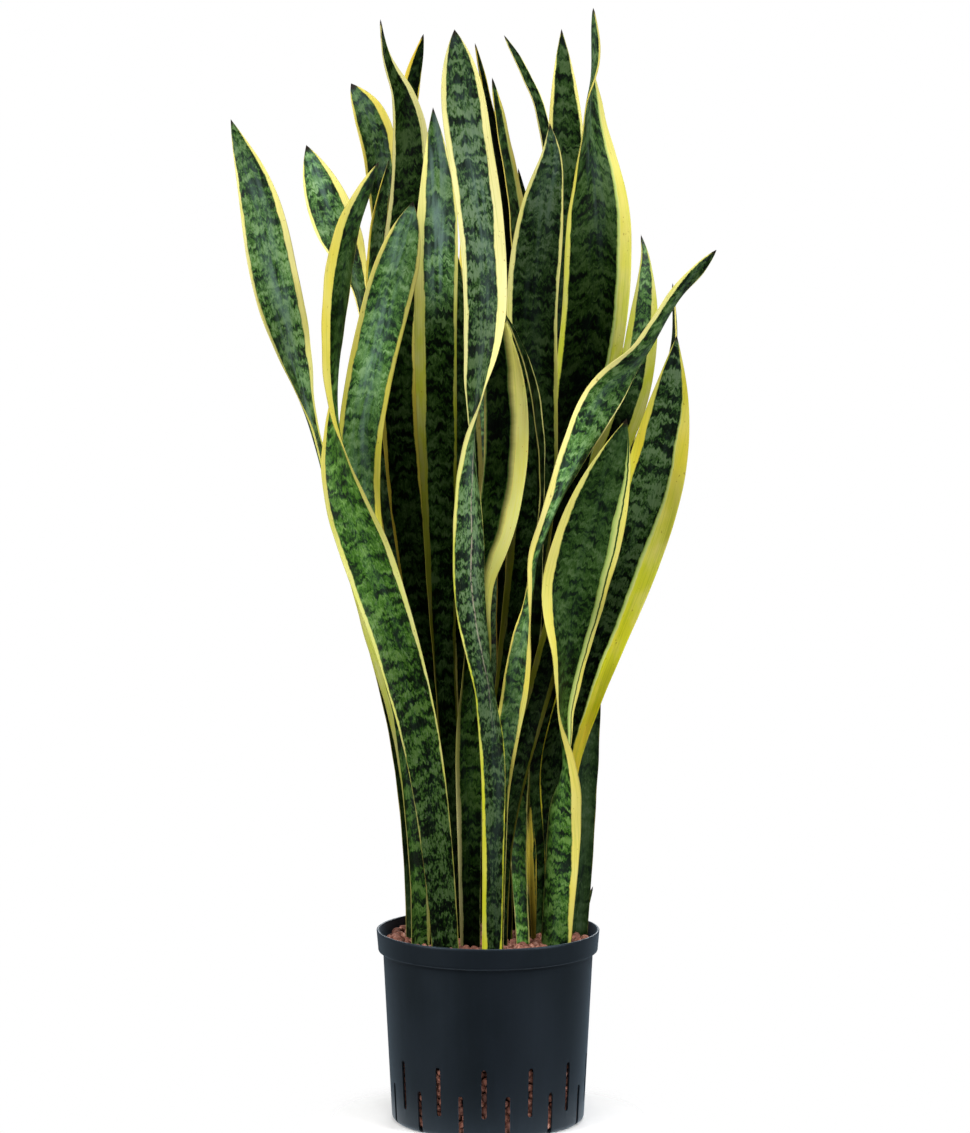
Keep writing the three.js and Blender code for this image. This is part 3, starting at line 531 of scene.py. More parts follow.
        toneAndShade=[1.5, 0.6, 0.08, 0.05, 0.05, 0.1], marginLightAndShade=[1, 0.7, 0.5, 0.7], gold=0.3, lime=0.2,
        cool=[-0.6, -0.4, 0.4, 0.4],
        path=[[34, -38, soil, 12], [29, -38, 283, 12], [32, -38, 384, 16], [38, -42, 484, 36],
        [47, -50, 584, 70], [49, -56, 663, 80], [42, -60, 737, 76], [28, -64, 782, 66], [13, -66, 813, 50]]),
    "leaf_long_right": dict(width=40, tipLength=100, left=[0.5, 0.5, 1, 3.5, 2, 1, 1, 1.5, 3, 3],
        right=[1, 1, 1.2, 4, 8.5, 6, 4.5, 4.5, 4.5, 4],
        toneAndShade=[0.1, 0.2, 0.35, 0.5, 0.6, 1, 1.2, 0.5, 0.5, 0.16], marginLightAndShade=[0.4, 0.8, 1.15, 1.1],
        gold=[0.35, 0.4, 0.5, 0.3, 0.3], lime=[0.4, 0.4, 0.3, 0.1, 0, 0, 0, 0.1, 0.2], bloomAndSheen=[0.1, 0.3],
        path=[[6, -70, soil, 0], [8, -71, 284, -2], [10, -73, 340, -4], [18, -75, 392, -8],
        [27, -78, 440, -12], [34, -84, 480, -40], [40, -92, 516, -76], [44, -96, 546, -96],
        [48, -100, 577, -106], [67, -106, 628, -114], [85, -112, 675, -140], [111, -119, 730, -172],
        [151, -128, 778, -122], [181, -136, 828, -114], [217, -144, 873, -158]]),
    "leaf_tall_right": dict(width=68, left=[0.5, 1, 2, 3, 4, 5, 5, 5, 4],
        right=[0.5, 1, 3, 8, 13, 14, 14, 10, 6], stripe=[0, 1, 2, 3, 3, 3, 3, 3],
        toneAndShade=[0.12, 0.12, 0.12, 0.06, 0.03, 0.02, 0.02, 0.03, 0.07, 0.12, 0.22, 0.4, 0.4],
        marginLightAndShade=[0.05, 0.08, 0.12, 0.4, 0.85, 0.85, 0.65], gold=[0.2, 0.2, 0.3, 0.3, 0.35, 0.45, 0.4],
        lime=[1, 1, 1, 1, 0.75, 0.2, 0.1], cool=[0.3, 0.3, 0.3, 0.3, 0, 0.3, 0.7],
        bloomAndSheen=[0, 0, 0, 0, 0, 0.1, 0.6, 0.2], parted=[0.5, 0.9, 1, 1, 0.9, 0.3, 0, 0, 0],
        chevron=[0.3, 0.6, 1],
        path=[[54, 2, soil, 10], [55, 2, 291, 8], [60, 3, 401, 4], [67, 4, 511, 0], [78, 6, 610, 0],
        [92, 8, 709, 0], [105, 10, 807, 0], [107, 12, 884, 14], [103, 13, 936, 42], [99, 14, 979, 66],
        [99, 15, 1014, 78], [103, 17, 1052, 100], [103, 19, 1103, 110]]),
    "leaf_right_needle": dict(width=34, left=[0.5, 1, 3, 6, 8, 7, 5], right=[0.5, 1, 3, 7, 12, 9, 5],
        toneAndShade=[0.05, 0.09, 0.11, 0.07, 0.04, 0.03, 0.015, 0.4, 0.75],
        marginLightAndShade=[0.05, 0.08, 0.1, 0.15, 0.2, 0.25, 0.35, 0.55, 0.75], gold=0.3, lime=[1, 1, 1, 1, 0.8, 0.4],
        path=[[12, -49, soil, -10], [16, -49, 279, -12], [31, -49, 359, -18], [52, -48, 438, -20],
        [73, -46, 517, -20], [97, -43, 595, -16], [118, -39, 664, -10], [140, -35, 727, 0],
        [151, -31, 795, 0], [153, -28, 853, 24], [149, -26, 883, 34]]),
    "leaf_wide_right": dict(width=58, tipPower=1.9, left=[0.3, 0.5, 1, 1.5, 5, 9, 5],
        right=[0.3, 1, 9, 15.5, 20, 14, 8], stripe=[0, 0, 0, 3, 4, 2, 1],
        toneAndShade=[0.05, 0.06, 0.07, 0.06, 0.07, 0.12, 0.28, 0.32, 0.27],
        marginLightAndShade=[0.3, 0.5, 0.9, 1.3, 1.15, 0.85, 0.6], gold=[0.9, 0.9, 0.8, 0.5, 0.45, 0.6, 0.4],
        lime=[0.5, 0.5, 0.6, 1, 0.7, 0.35, 0.5], cool=[0.1, 0.2, 0.3, 0.5, 0.8], dashed=[1, 0.7, 0.4],
        contrast=1.7,
        path=[[70, -24, soil, 0], [71, -26, 276, 0], [70, -30, 356, 0], [88, -36, 427, 0],
        [111, -43, 492, 0], [134, -51, 552, 0], [153, -60, 612, 0], [166, -69, 671, 0], [175, -77, 723, 0],
        [182, -85, 788, 14]]),
    "leaf_right_twist": dict(width=66, left=[1, 4.5, 8, 13, 12.5, 7, 4], right=[0.3, 0.5, 3, 11, 9, 12.5, 6],
        stripe=[0, 0, 2, 6.5, 5, 6.5, 3],
        toneAndShade=[0.15, 0.35, 0.55, 0.6, 0.5, 0.2, 0.22, 0.27, 0.24, 0.22, 0.22],
        marginLightAndShade=[0.5, 1.05, 1, 0.9, 0.85, 0.8], gold=[0.5, 0.45, 0.45, 0.45, 0.4, 0.4],
        lime=[0, 0.1, 0.1, 0.2, 0.2, 0.3], cool=[-0.1, -0.2, -0.2, 0.3, 0.5, 0.6], parted=[0, 0.8, 1, 1],
        contrast=[1.5, 1.5, 0.9, 0.6],
        path=[[65, -56, soil, 166], [69, -62, 268, 150], [70, -68, 322, 130], [74, -72, 368, 98],
        [70, -77, 420, 77], [76, -84, 482, 52], [82, -92, 542, 11], [96, -100, 591, 0], [112, -107, 643, 0],
        [133, -115, 710, 10]]),
    "leaf_right_back": dict(width=50, left=[0.3, 0.3, 1, 4], right=[0.3, 0.3, 1, 4],
        toneAndShade=[0.16, 0.19, 0.2, 0.3], marginLightAndShade=[0.1, 0.3, 0.8], cool=[1.8, 1.8, 0.5], contrast=[0.3, 0.4, 1],
        path=[[87, 8, soil, 40], [92, 12, 269, 42], [93, 18, 349, 42], [96, 26, 438, 36], [107, 36, 527, 26],
        [119, 48, 616, 14], [122, 60, 695, 8], [118, 72, 764, 0], [112, 82, 824, 0]]),
    "leaf_back_left": dict(width=48, left=[0.5, 3, 6, 5], right=[0.5, 3, 5, 4], toneAndShade=[0.05, 0.3, 0.8, 0.8],
        path=[[-28, 78, soil, 14], [-38, 86, 290, 16], [-48, 99, 408, 20], [-60, 115, 524, 26],
        [-71, 133, 643, 32], [-80, 152, 755, 38], [-84, 169, 847, 40]]),
    "leaf_back_centre": dict(width=50, left=[0.5, 3, 6, 6], right=[0.5, 4, 8, 6], toneAndShade=[0.05, 0.3, 0.8, 0.8],
        gold=0.6,
        path=[[2, 86, soil, -10], [2, 94, 288, -12], [3, 107, 407, -18], [6, 123, 545, -26],
        [2, 139, 675, -34], [-6, 154, 806, -40], [-8, 164, 928, -40], [-10, 170, 990, -36]]),
    "leaf_back_right": dict(width=54, left=[0.5, 4, 8, 7], right=[0.5, 3, 5, 4], toneAndShade=[0.05, 0.3, 0.8, 0.8],
        gold=0.35,
        path=[[70, 57, soil, -10], [74, 72, 291, -10], [80, 90, 405, -10], [90, 112, 543, -22],
        [100, 134, 673, -34], [108, 154, 801, -40], [113, 168, 940, -40]]),
    "leaf_back_far_right": dict(width=44, left=[0.5, 3, 5, 4], right=[0.5, 3, 6, 4],
        toneAndShade=[0.04, 0.1, 0.3, 0.4],
        path=[[84, 34, soil, -24], [91, 48, 292, -26], [94, 56, 370, -28], [104, 64, 428, -28],
        [124, 78, 496, -26], [144, 94, 560, -32], [165, 108, 630, -48], [182, 122, 700, -64],
        [190, 136, 772, -80], [187, 146, 828, -84]]),
    "leaf_back_low_left": dict(width=40, left=[0.3, 0.3, 4], right=[0.3, 0.3, 5], toneAndShade=[0.6, 0.6, 0.5],
        cool=[1, 1, 0.5], contrast=[0.3, 0.5, 1],
        path=[[-76, -8, soil, 34], [-77, -5, 305, 30], [-84, -4, 382, 28], [-97, -4, 458, 22],
        [-112, -1, 526, 16], [-124, 11, 585, 16], [-131, 22, 644, 12]]),
    "leaf_back_middle": dict(width=42, left=[0.5, 3, 4], right=[0.5, 3, 6], toneAndShade=[0.03, 0.1, 0.4],
        path=[[-8, 58, soil, 12], [-13, 64, 291, 12], [-18, 76, 411, 10], [-22, 88, 549, 20],
        [-27, 100, 678, 34], [-31, 112, 788, 44], [-34, 120, 868, 50]]),
}
sprouts = {
    "sprout_front": dict(width=13, tipLength=60, rootDepth=24, left=9, right=1, toneAndShade=[0.1, 0.3],
        marginLightAndShade=[0.1, 0.15, 0.6, 1.5, 1.3], gold=0.72,
        path=[[44, -14, soil, 55], [43, -16, 255, 55], [42, -18, 322, 55]]),
    "sprout_middle": dict(width=17, tipLength=50, rootDepth=24, left=[0.5, 1], right=2, toneAndShade=[0.8, 1.2],
        marginLightAndShade=1,
        path=[[36, 16, soil, 20], [34, 15, 222, 20], [30, 14, 256, 20]]),
    "sprout_edge": dict(width=6, tipLength=26, rootDepth=20, left=0, right=0, toneAndShade=0.4, marginLightAndShade=1,
        path=[[93, 26, soil, 40], [97, 25, 205, 40], [105, 23, 231, 40]]),
}


# The Catmull-Rom curve through the stations at t from 0 to 1, its ends carried on straight.
def alongStations(stations, t):
    last = len(stations) - 1
    whole = np.minimum((t * last).astype(int), last - 1)
    f = (t * last - whole)[:, None]
    spare = np.vstack([2 * stations[0] - stations[1], stations, 2 * stations[-1] - stations[-2]])
    a, b, c, d = (spare[whole + i] for i in range(4))
    return b + 0.5 * f * (c - a + f * (2 * a - 5 * b + 4 * c - d + f * (3 * (b - c) + d - a)))


def eased(values):
    u = np.clip(values, 0, 1)
    return u * u * (3 - 2 * u)


# A leaf is a hollow strip round its spine. At share a of its half width, -1 at the left edge and 1 at the
# right, a point is centre + side * a * halfWidth + face * (hollow * halfWidth * a^2 + wave +- thickness).
def makeLeaf(name, own, index, material, slot):
    leaf = {**blade, **own}
    x, y, z, facing = leaf["path"][0]
    stations = np.array([[x, y, z - leaf["rootDepth"], facing], *leaf["path"]], float)
    fineT = np.linspace(0, 1, leaf["spineSteps"])
    spine = alongStations(stations, fineT)[:, :3]
    lengths = np.concatenate([[0], np.cumsum(np.linalg.norm(np.diff(spine, axis=0), axis=1))])
    length, tip = lengths[-1], leaf["tipLength"]
    stem = np.linspace(0, length - tip, max(leaf["fewestRows"], round((length - tip) / leaf["step"])))
    point = length - tip * np.linspace(1, 0, leaf["tipRows"])[1:] ** leaf["tipCrowding"]
    places = np.concatenate([stem, point])
    t = np.interp(places, lengths, fineT)
    rows = alongStations(stations, t)
    centre, turn = rows[:, :3], np.radians(rows[:, 3])
    ahead = alongStations(stations, np.minimum(t + 1e-3, 1))[:, :3]
    behind = alongStations(stations, np.maximum(t - 1e-3, 0))[:, :3]
    direction = ahead - behind
    direction /= np.linalg.norm(direction, axis=1)[:, None]
    side = np.stack([np.cos(turn), np.sin(turn), 0 * turn], axis=1)
    side -= direction * np.sum(side * direction, axis=1)[:, None]
    side /= np.linalg.norm(side, axis=1)[:, None]
    face = np.cross(side, direction)

    # the size of the section at each place
    grown = eased(places / (length - tip))
    tipShare = 1 - (np.maximum(places - length + tip, 0) / tip) ** leaf["tipPower"]
    halfWidth = 0.5 * leaf["width"] * (leaf["baseShare"] + (1 - leaf["baseShare"]) * grown) * tipShare
    pointed = np.clip((length - places) / leaf["pointLength"], leaf["pointShare"], 1)
    halfWidth = np.maximum(halfWidth, leaf["needle"] * pointed)
    hollow = leaf["rootHollow"] + (leaf["topHollow"] - leaf["rootHollow"]) * grown
    thick = leaf["rootThickness"] + (leaf["topThickness"] - leaf["rootThickness"]) * eased(
        2 * places / length)
    body = np.minimum(thick, 0.9 * halfWidth + 0.4) * pointed
    edgeHalf = np.minimum(leaf["edgeThickness"], body) / 2
    wave = leaf["waveDepth"] * eased(places / leaf["waveStart"]) * np.minimum(1, 2 * tipShare)
    ripple = wave * leaf["rippleDepth"] / leaf["waveDepth"]

    # the section's angle q runs right over the hollow face and back over the other
    q = np.linspace(0, 2 * np.pi, leaf["around"], endpoint=False)
    a = -np.cos(q)
    across = a * halfWidth[:, None]
    lift = hollow[:, None] * halfWidth[:, None] * a ** 2
    phase = index * 1.7 + np.where(a > 0, 0, 2.1)
    lift = lift + wave[:, None] * np.abs(a) ** 3 * np.sin(
        2 * np.pi * places[:, None] / leaf["waveLength"] + phase)
    lift = lift + ripple[:, None] * np.abs(a) ** 5 * np.sin(
        2 * np.pi * places[:, None] / leaf["rippleLength"] + 3 * phase)
    level = np.abs(np.sin(q))
    half = edgeHalf[:, None] * np.tanh(6 * level) + (body / 2 - edgeHalf)[:, None] * level ** 2
    lift = lift + half * np.sign(np.round(np.sin(q), 9))
    points = centre[:, None] + side[:, None] * across[..., None] + face[:, None] * lift[..., None]

    def spread(key):        # the value at each place, from the short list of values from foot to tip
        numbers = np.atleast_1d(leaf[key])
        return np.interp(places, np.linspace(0, length, len(numbers)), numbers)[:, None] * flat

    flat = np.ones_like(across)
    seed = 3.1 * index + 11.3 * len(name)       # each leaf has its own part of the noise
    narrowed = np.minimum(1, 1.1 * tipShare)[:, None] ** 1.3
    values = {
        "leafPlace": (across * mm, places[:, None] * flat * mm, seed * flat),
        "leafEdges": ((halfWidth[:, None] + across) * mm, (halfWidth[:, None] - across) * mm,
                      (length - places)[:, None] * flat * mm),
        "leafMargins": [spread(key) * narrowed * mm for key in ("left", "right", "stripe")],
    }
    values.update({label: [spread(key) for key in keys] for label, keys in leafLists.items()})
    values = {label: closedValues(np.stack(parts, axis=-1)) for label, parts in values.items()}
    skin, faces = closedSkin(points * mm)
    return makePiece(name + ".blade", skin, faces, material, slot, [name], values)


leafMaterial = makeLeafMaterial()
for table, slotName in ((leaves, "leaf"), (sprouts, "sprout")):
    for number, (nodeName, leafSizes) in enumerate(table.items()):
        makeLeaf(nodeName, leafSizes, number, leafMaterial, slotName)
print("leaves made:", len(leaves) + len(sprouts))

# The pot

pot = {
    "height": 192, "rimRadius": 111, "rimWall": 2.6, "skirtHeight": 21, "skirtRadius": 109.3,
    "neckRadius": 104.4, "neckHeight": 168, "footRadius": 96, "cornerRadius": 6, "wall": 1.8, "floor": 2.2,
    "lip": 0.9, "floorRings": (12, 45, 75), "slotWidth": 5.2, "slotInset": 10, "slotCount": 13,
    "long": {"from": 20, "to": 69.5, "first": -2.3}, "low": {"from": -6, "to": 42.5, "first": 11.5},
    "sharpEdge": 50,        # degrees
}


def makePotMaterial():
    w = Wiring("pot.mouldedPlastic", Specular_IOR_Level=0.34, Specular_Tint=(0.6, 0.8, 1, 1),
               Sheen_Weight=0.24, Sheen_Roughness=0.45, Sheen_Tint=(0.55, 0.78, 1, 1))
    here = w.here()
    clouds = w.noise(here, (14, 14, 9), 3.0)
    flow = w.noise(here, (160, 160, 6), 2.0)
    grain = w.noise(here, (2600, 2600, 2600), 2.0, 0.6)
    dust = w.step(w.noise(here, (420, 420, 300), 3.0, 0.7), 0.62, 0.74, 0.0, 0.16)
    colour = w.mix(w.step(clouds, 0.35, 0.65), "06090c", "0a0d12")
    colour = w.mix(w.step(flow, 0.45, 0.62, 0.0, 0.2), colour, "0e131a")
    colour = w.mix(dust, colour, "272e38")
    shine = w.plus(w.times(grain, 0.12), w.step(clouds, 0.3, 0.7, 0.33, 0.4))
    height = w.plus(grain, w.times(flow, 0.3))
    return w.finish(colour, shine, height, 0.0001, 0.5)


# The wall is two skins on one grid, turned about Z: the outer profile up to the rim, and the inner one down.
# Cells inside a slot are left out of both, and strips across the wall close each slot's edge.
def makePot():
    half = pot["slotWidth"] / 2
    slotTurn = math.degrees(half / pot["footRadius"])
    inside = np.linspace(-slotTurn, slotTurn, 7)
    between = np.linspace(slotTurn, 180 / pot["slotCount"] - slotTurn, 10)[1:-1]
    sector = 180 / pot["slotCount"]
    angles = np.concatenate([pot["long"]["first"] + sector * i + np.concatenate([inside, between])
                             for i in range(2 * pot["slotCount"])])
    isLong = np.tile(np.repeat([True, False], len(inside) + len(between)), pot["slotCount"])
    offset = np.tile(np.concatenate([inside, between]), 2 * pot["slotCount"])
    inSlot = np.abs(offset) <= slotTurn + 1e-6
    arch = np.sqrt(np.clip(1 - (offset / slotTurn) ** 2, 0, 1)) * half * inSlot

    # the profiles, as rows of (radius, height): floor, corner, wall, step and rim
    wall, lip, bend = pot["wall"], pot["lip"], pot["cornerRadius"]
    foot, neck = pot["footRadius"], pot["neckRadius"]
    skirt, rim, height, neckTop = (pot[key] for key in ("skirtRadius", "rimRadius", "height", "neckHeight"))
    step, innerRim = height - pot["skirtHeight"], rim - pot["rimWall"]
    longEnds, lowEnd = (pot["long"]["from"] + half, pot["long"]["to"] - half), pot["low"]["to"] - half
    heights = np.array([9, 14, longEnds[0], 28, 34, lowEnd, 46, 52, 59, longEnds[1], 73, 80, 95, 112, 130,
                        148, 160])

    def side(inset, bottom):
        q = np.linspace(0, np.pi / 2, 7)
        flat = [[radius, bottom] for radius in (*pot["floorRings"], foot - pot["slotInset"])]
        reach = bend - inset
        corner = [foot - bend + reach * np.sin(q), bottom + reach - reach * np.cos(q)]
        share = (heights - bend) / (neckTop - inset - bend)
        return [flat, np.transpose(corner), np.transpose([foot - inset + (neck - foot) * share, heights])]

    outer = np.vstack([*side(0, 0), [
        [neck - 0.05, neckTop - 1], [neck + 0.4, step - 1.4], [neck + 1.6, step - 0.3], [skirt - 1.2, step],
        [skirt - 0.35, step + 0.3], [skirt, step + 1.1], [skirt + 0.15, step + 3], [rim - 0.2, height - 3],
        [rim, height - lip]]])
    inner = np.vstack([*side(wall, pot["floor"]), [
        [neck - wall, neckTop - 1.8], [neck - wall + 0.5, step - 1.6], [skirt - 4.2, step + 0.2],
        [skirt - 3.2, step + 0.8], [skirt - 2.7, step + 1.6], [innerRim - 1.3, step + 2.6],
        [innerRim - 1.1, step + 5], [innerRim - 0.1, height - 3], [innerRim, height - lip]]])
    q = np.linspace(0, np.pi, 7)[1:-1]
    middle, lipHalf = (rim + innerRim) / 2, (rim - innerRim) / 2
    lipRows = np.stack([middle + lipHalf * np.cos(q), height - lip + lip * np.sin(q)], axis=1)
    profile = np.vstack([outer, lipRows, inner[::-1]])

    radius, level = (np.repeat(profile[:, i:i + 1], len(angles), axis=1) for i in (0, 1))
    rowsOfWall = len(outer)
    longFoot, lowTop, longTop = 13, 16, 20      # rows at the ends of the slots' straight sides
    for row, sign, which in ((longFoot, -1, isLong), (lowTop, 1, ~isLong), (longTop, 1, isLong)):
        for skin in (row, len(profile) - 1 - row):
            level[skin] += sign * arch * which
    turn = np.radians(angles)
    points = np.stack([radius * np.sin(turn), -radius * np.cos(turn), level], axis=-1)

    # cells: which are open, by the slot's own rows and columns
    rows, around = points.shape[:2]
    cellInSlot = inSlot & np.roll(inSlot, -1) & (offset < np.roll(offset, -1))
    rowNumber = np.arange(rows - 1)[:, None]
    mirrored = np.where(rowNumber < rowsOfWall, rowNumber, rows - 2 - rowNumber)
    isOpen = cellInSlot & np.where(isLong, (mirrored >= longFoot) & (mirrored < longTop),
                                   (mirrored >= 3) & (mirrored < lowTop))
    cells = gridCells(rows, around)

    # strips across the wall, from each edge between an open cell and a closed one
    def across(index):
        row, column = np.divmod(index, around)
        return (rows - 1 - row) * around + column

    wallOpen = isOpen[:rowsOfWall - 1]
    shut = np.zeros((1, around), bool)
    neighbours = (np.roll(wallOpen, 1, axis=1), np.roll(wallOpen, -1, axis=1),
                  np.vstack([shut, wallOpen[:-1]]), np.vstack([wallOpen[1:], shut]))
    corners = ((3, 0), (1, 2), (0, 1), (2, 3))      # the cell's own corners at that side
    sides = []
    for beside, pair in zip(neighbours, corners):
        a, b = cells[:rowsOfWall - 1][wallOpen & ~beside][:, pair].T
        sides.append(np.stack([a, b, across(b), across(a)], axis=-1))
    skin = np.vstack([points.reshape(-1, 3), [[0, 0, 0], [0, 0, pot["floor"]]]])
    faces = [cells[~isOpen], np.vstack(sides), *endFans(rows, around)]
    return makePiece("pot.wall", skin * mm, faces, makePotMaterial(), "pot_plastic", ["pot"])


potPiece = makePot()
potPiece.data.set_sharp_from_angle(angle=math.radians(pot["sharpEdge"]))
print("pot made")

# The clay pebbles

clay = {
    "level": soil, "topRadius": 101, "spacing": 8.6, "radius": (3.4, 5.6), "layers": (-6, -0.6),
    "jitter": 2.2, "sideRows": (5, 74), "sideSpacing": 8.4, "leafRoom": 1.6, "seed": 4,
    "rings": 5, "around": 9, "stretch": (-0.16, 0.18), "wave": 1.6, "waveDepth": 0.09,
    "lightness": (0.6, 1.25),
    "bed": [[6, 3], [60, 3], [82, 3], [84, 9], [88, 76], [94, 82], [99, 150], [101, 164],
            [102, 171], [98, 174], [60, 174.6], [6, 174]],
    # the bed's look is darker than any stone's: painted shade in the gaps between the stones
    "bedRoughness": 0.35, "bedShadedLook": (0.35, 0.8, 0),
}


def makeClayMaterial():
    w = Wiring("clay.fired", Specular_IOR_Level=0.25)
    here = w.here()
    _, toneAndShade, warm, _ = w.attribute("stoneLook")
    blotches = w.noise(here, (330, 330, 330), 3.0, 0.6)
    pores = w.noise(here, (1900, 1900, 1900), 3.0, 0.7)
    colour = w.ramp(blotches, [(0.3, "6a3c30"), (0.45, "97604f"), (0.58, "b27a67"), (0.72, "cfa493")])
    colour = w.mix(w.times(warm, 0.6), colour, "7d5a52")
    colour = w.mix(w.step(pores, 0.36, 0.46, 0.65, 0.0), colour, "2c1612")
    # each stone's own lightness, and on the bed a painted shade
    colour = w.tint(colour, w.grey(toneAndShade))
    shine = w.step(blotches, 0.3, 0.7, 0.7, 0.95)
    return w.finish(colour, shine, w.plus(w.times(pores, 0.6), blotches), 0.0009, 0.9)


# Stones are one small ball of rings, stretched, turned and pushed in and out by three sine waves each. A
# stone's look is its lightness and its warmth.
def stones(places, sizes, random):
    rings, around = clay["rings"], clay["around"]
    lat = np.linspace(-np.pi / 2, np.pi / 2, rings + 2)[1:-1, None]
    lon = np.linspace(0, 2 * np.pi, around, endpoint=False) + 0.3 * lat
    ball = np.stack([np.cos(lat) * np.cos(lon), np.cos(lat) * np.sin(lon), np.sin(lat) + 0 * lon], axis=-1)
    skin, faces = closedSkin(ball)
    skin[-2], skin[-1] = (0, 0, -1), (0, 0, 1)
    count = len(places)
    waves = random.normal(size=(count, 3, 3)) * clay["wave"]
    pushes = np.sin(np.einsum("cwk,vk->cvw", waves, skin) + 5 * random.random((count, 1, 3)))
    bulge = 1 + clay["waveDepth"] * pushes.sum(-1)
    stretch = 1 + random.uniform(*clay["stretch"], (count, 1, 3))
    shaped = skin[None] * bulge[..., None] * stretch * np.reshape(sizes, (-1, 1, 1))
    spin, _ = np.linalg.qr(random.normal(size=(count, 3, 3)))
    spin *= np.sign(np.linalg.det(spin))[:, None, None]
    points = np.einsum("cij,cvj->cvi", spin, shaped) + places[:, None]
    start = (np.arange(count) * len(skin))[:, None, None]
    lightness, warmth = random.uniform(*clay["lightness"], count), random.random(count) ** 2
    look = np.stack([lightness, warmth, 0 * sizes], axis=-1)
    faces = [(part[None] + start).reshape(-1, part.shape[1]) for part in faces]
    return points.reshape(-1, 3), faces, np.repeat(look, len(skin), axis=0)


# Points of a triangle lattice over a rectangle, every second row moved half a step.
def lattice(width, height, step):
    rows = np.arange(0, height, step * 0.87)
    columns = np.arange(0, width, step)
    grid = np.stack(np.meshgrid(columns, rows), axis=-1)
    grid[1::2, :, 0] += step / 2
    return grid.reshape(-1, 2)


# Distance on the ground from each place to the nearest leaf's foot, as a flat strip at the clay's surface.
def leafRoom(places):
    nearest = np.full(len(places), 1e3)
    for leaf in [*leaves.values(), *sprouts.values()]:
        x, y, _, facing = leaf["path"][0]
        turn = math.radians(facing)
        side = np.array([math.cos(turn), math.sin(turn)])
        reach = 0.5 * leaf["width"] * (blade["baseShare"] + 0.03)
        away = places[:, :2] - (x, y)
        share = np.clip(away @ side, -reach, reach)
        nearest = np.minimum(nearest, np.linalg.norm(away - share[:, None] * side, axis=1))
    return nearest


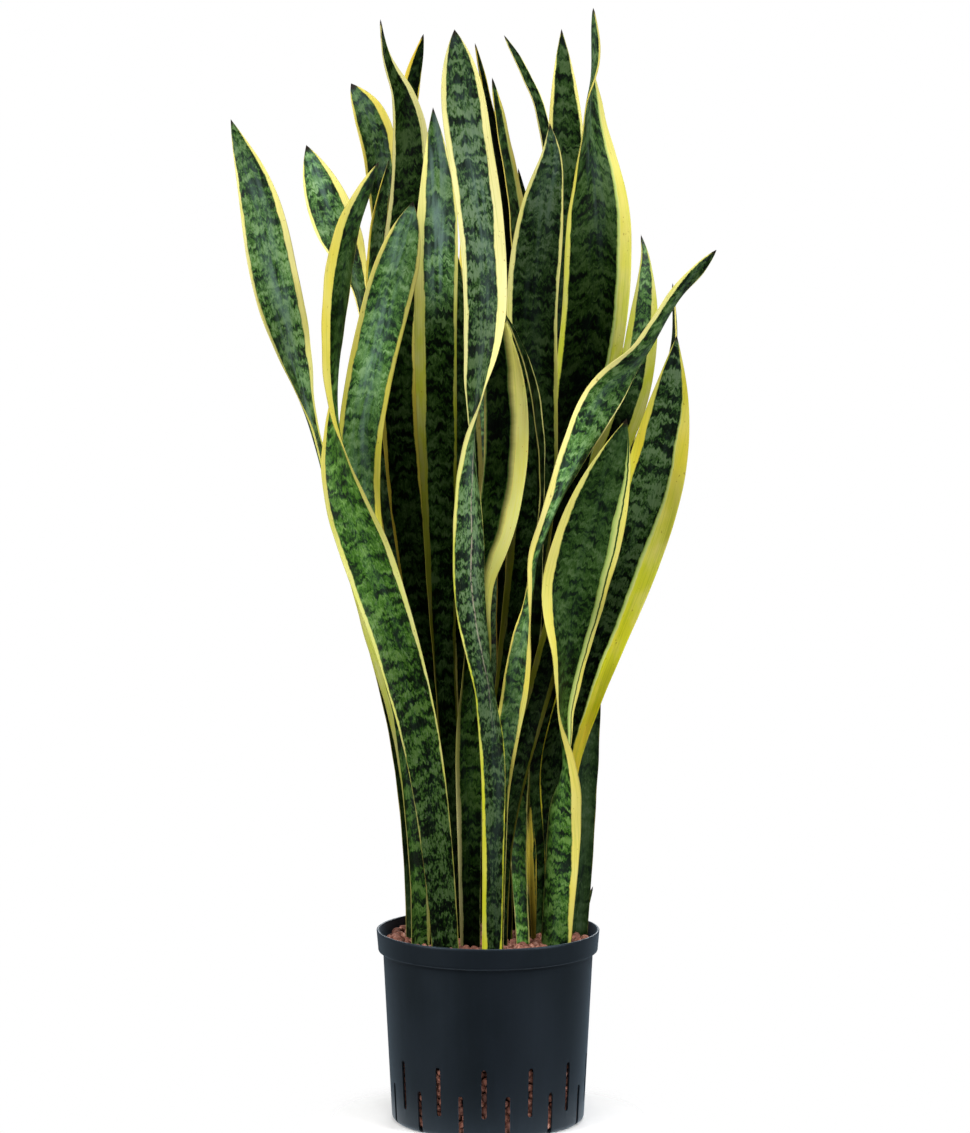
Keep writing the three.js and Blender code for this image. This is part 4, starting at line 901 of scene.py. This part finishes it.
def makeClay():
    random = np.random.default_rng(clay["seed"])
    low, high = clay["radius"]
    parts = []
    for layer, drop in enumerate(clay["layers"]):
        reach = clay["topRadius"]
        spots = lattice(2 * reach, 2 * reach, clay["spacing"]) - reach + 3.7 * layer
        spots = spots + random.uniform(-1, 1, spots.shape) * clay["jitter"]
        sizes = random.uniform(low, high, len(spots))
        heights = clay["level"] + drop + random.uniform(-1.2, 1.6, len(spots))
        places = np.column_stack([spots, heights])
        keep = np.hypot(*spots.T) < reach - 0.3 * sizes
        keep &= leafRoom(places) > clay["leafRoom"] + 0.8 * sizes
        parts.append(stones(places[keep], sizes[keep], random))
    sideLow, sideHigh = clay["sideRows"]
    wallAt = pot["footRadius"] - pot["wall"]
    around = 2 * np.pi * wallAt
    spots = lattice(around, sideHigh - sideLow, clay["sideSpacing"])
    sizes = random.uniform(low, high, len(spots))
    turn = (spots[:, 0] + random.uniform(-1, 1, len(spots))) / wallAt
    heights = sideLow + spots[:, 1] + random.uniform(-1, 1, len(spots))
    heights = np.maximum(heights, pot["floor"] + 1.35 * sizes)
    slope = (pot["neckRadius"] - pot["footRadius"]) / (pot["neckHeight"] - pot["cornerRadius"])
    radius = wallAt + slope * (heights - pot["cornerRadius"]) - 1.18 * sizes - 0.6
    radius = radius - np.maximum(0, pot["cornerRadius"] + 2 - heights) * 0.7
    places = np.column_stack([radius * np.cos(turn), radius * np.sin(turn), heights])
    parts.append(stones(places, sizes, random))

    # the bed under and behind the stones, coloured darker than any stone: painted shade in the gaps between
    # them
    profile = np.array(clay["bed"])
    turns = np.linspace(0, 2 * np.pi, 120, endpoint=False)
    rough = random.normal(size=(len(profile), len(turns))) * clay["bedRoughness"]
    radius = profile[:, :1] + rough * (profile[:, :1] > 70) - 0.6
    bed = np.stack([radius * np.cos(turns), radius * np.sin(turns),
                    profile[:, 1:] + rough * (profile[:, 1:] > 160)], axis=-1)
    skin, faces = closedSkin(bed)
    parts.append((skin, faces, np.tile(clay["bedShadedLook"], (len(skin), 1))))

    points, shapes, looks, start = [], [], [], 0
    for skin, faces, look in parts:
        points.append(skin)
        looks.append(look)
        shapes.extend(part + start for part in faces)
        start += len(skin)
    return makePiece("clay.stones", np.vstack(points) * mm, shapes, makeClayMaterial(), "clay",
                     ["clay_pebbles"], {"stoneLook": np.vstack(looks)})


clayPiece = makeClay()
print("clay made:", len(clayPiece.data.polygons), "faces")

# The rhizomes in the clay keep their solids and get a fibrous finish


def makeRhizomeMaterial():
    w = Wiring("rhizome.skin", Specular_IOR_Level=0.3)
    here = w.here()
    rings = w.noise(here, (90, 90, 240), 3.0)
    fibres = w.noise(here, (900, 900, 900), 3.0, 0.6)
    colour = w.ramp(rings, [(0.3, "8a6a3c"), (0.5, "c7ac72"), (0.7, "dccb9a")])
    colour = w.mix(w.step(fibres, 0.35, 0.5, 0.5, 0.0), colour, "5d4426")
    return w.finish(colour, w.step(rings, 0.3, 0.7, 0.6, 0.85), fibres, 0.0006, 0.8)


rhizomeMaterial = makeRhizomeMaterial()
for nodeName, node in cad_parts.items():
    if nodeName.startswith("rhizome"):
        node.data.materials.clear()
        node.data.materials.append(rhizomeMaterial)

# The floor


def makeFloor():
    turns = np.linspace(0, 2 * np.pi, studio["floorFacets"], endpoint=False)
    rim = np.stack([np.cos(turns), np.sin(turns), 0 * turns], axis=1) * studio["floorRadius"]
    mesh = bpy.data.meshes.new("floor")
    mesh.from_pydata(rim.tolist(), [], [list(range(len(rim)))])
    w = Wiring("floor.paper", Roughness=0.9)
    grain = w.noise(w.here(), (60, 60, 60), 2.0)
    w.finish(w.mix(w.step(grain, 0.3, 0.7, 0.0, 0.04), studio["paper"], studio["paperGrain"]))
    away = w.new("VectorMath")
    away.operation = "LENGTH"
    w.put(away, 0, w.here())
    w.put(w.shader, "Alpha", w.step(away.outputs["Value"], *studio["floorFade"], 1.0, 0.0))
    mesh.materials.append(w.material)
    placed("floor", mesh)


makeFloor()
print("floor made")
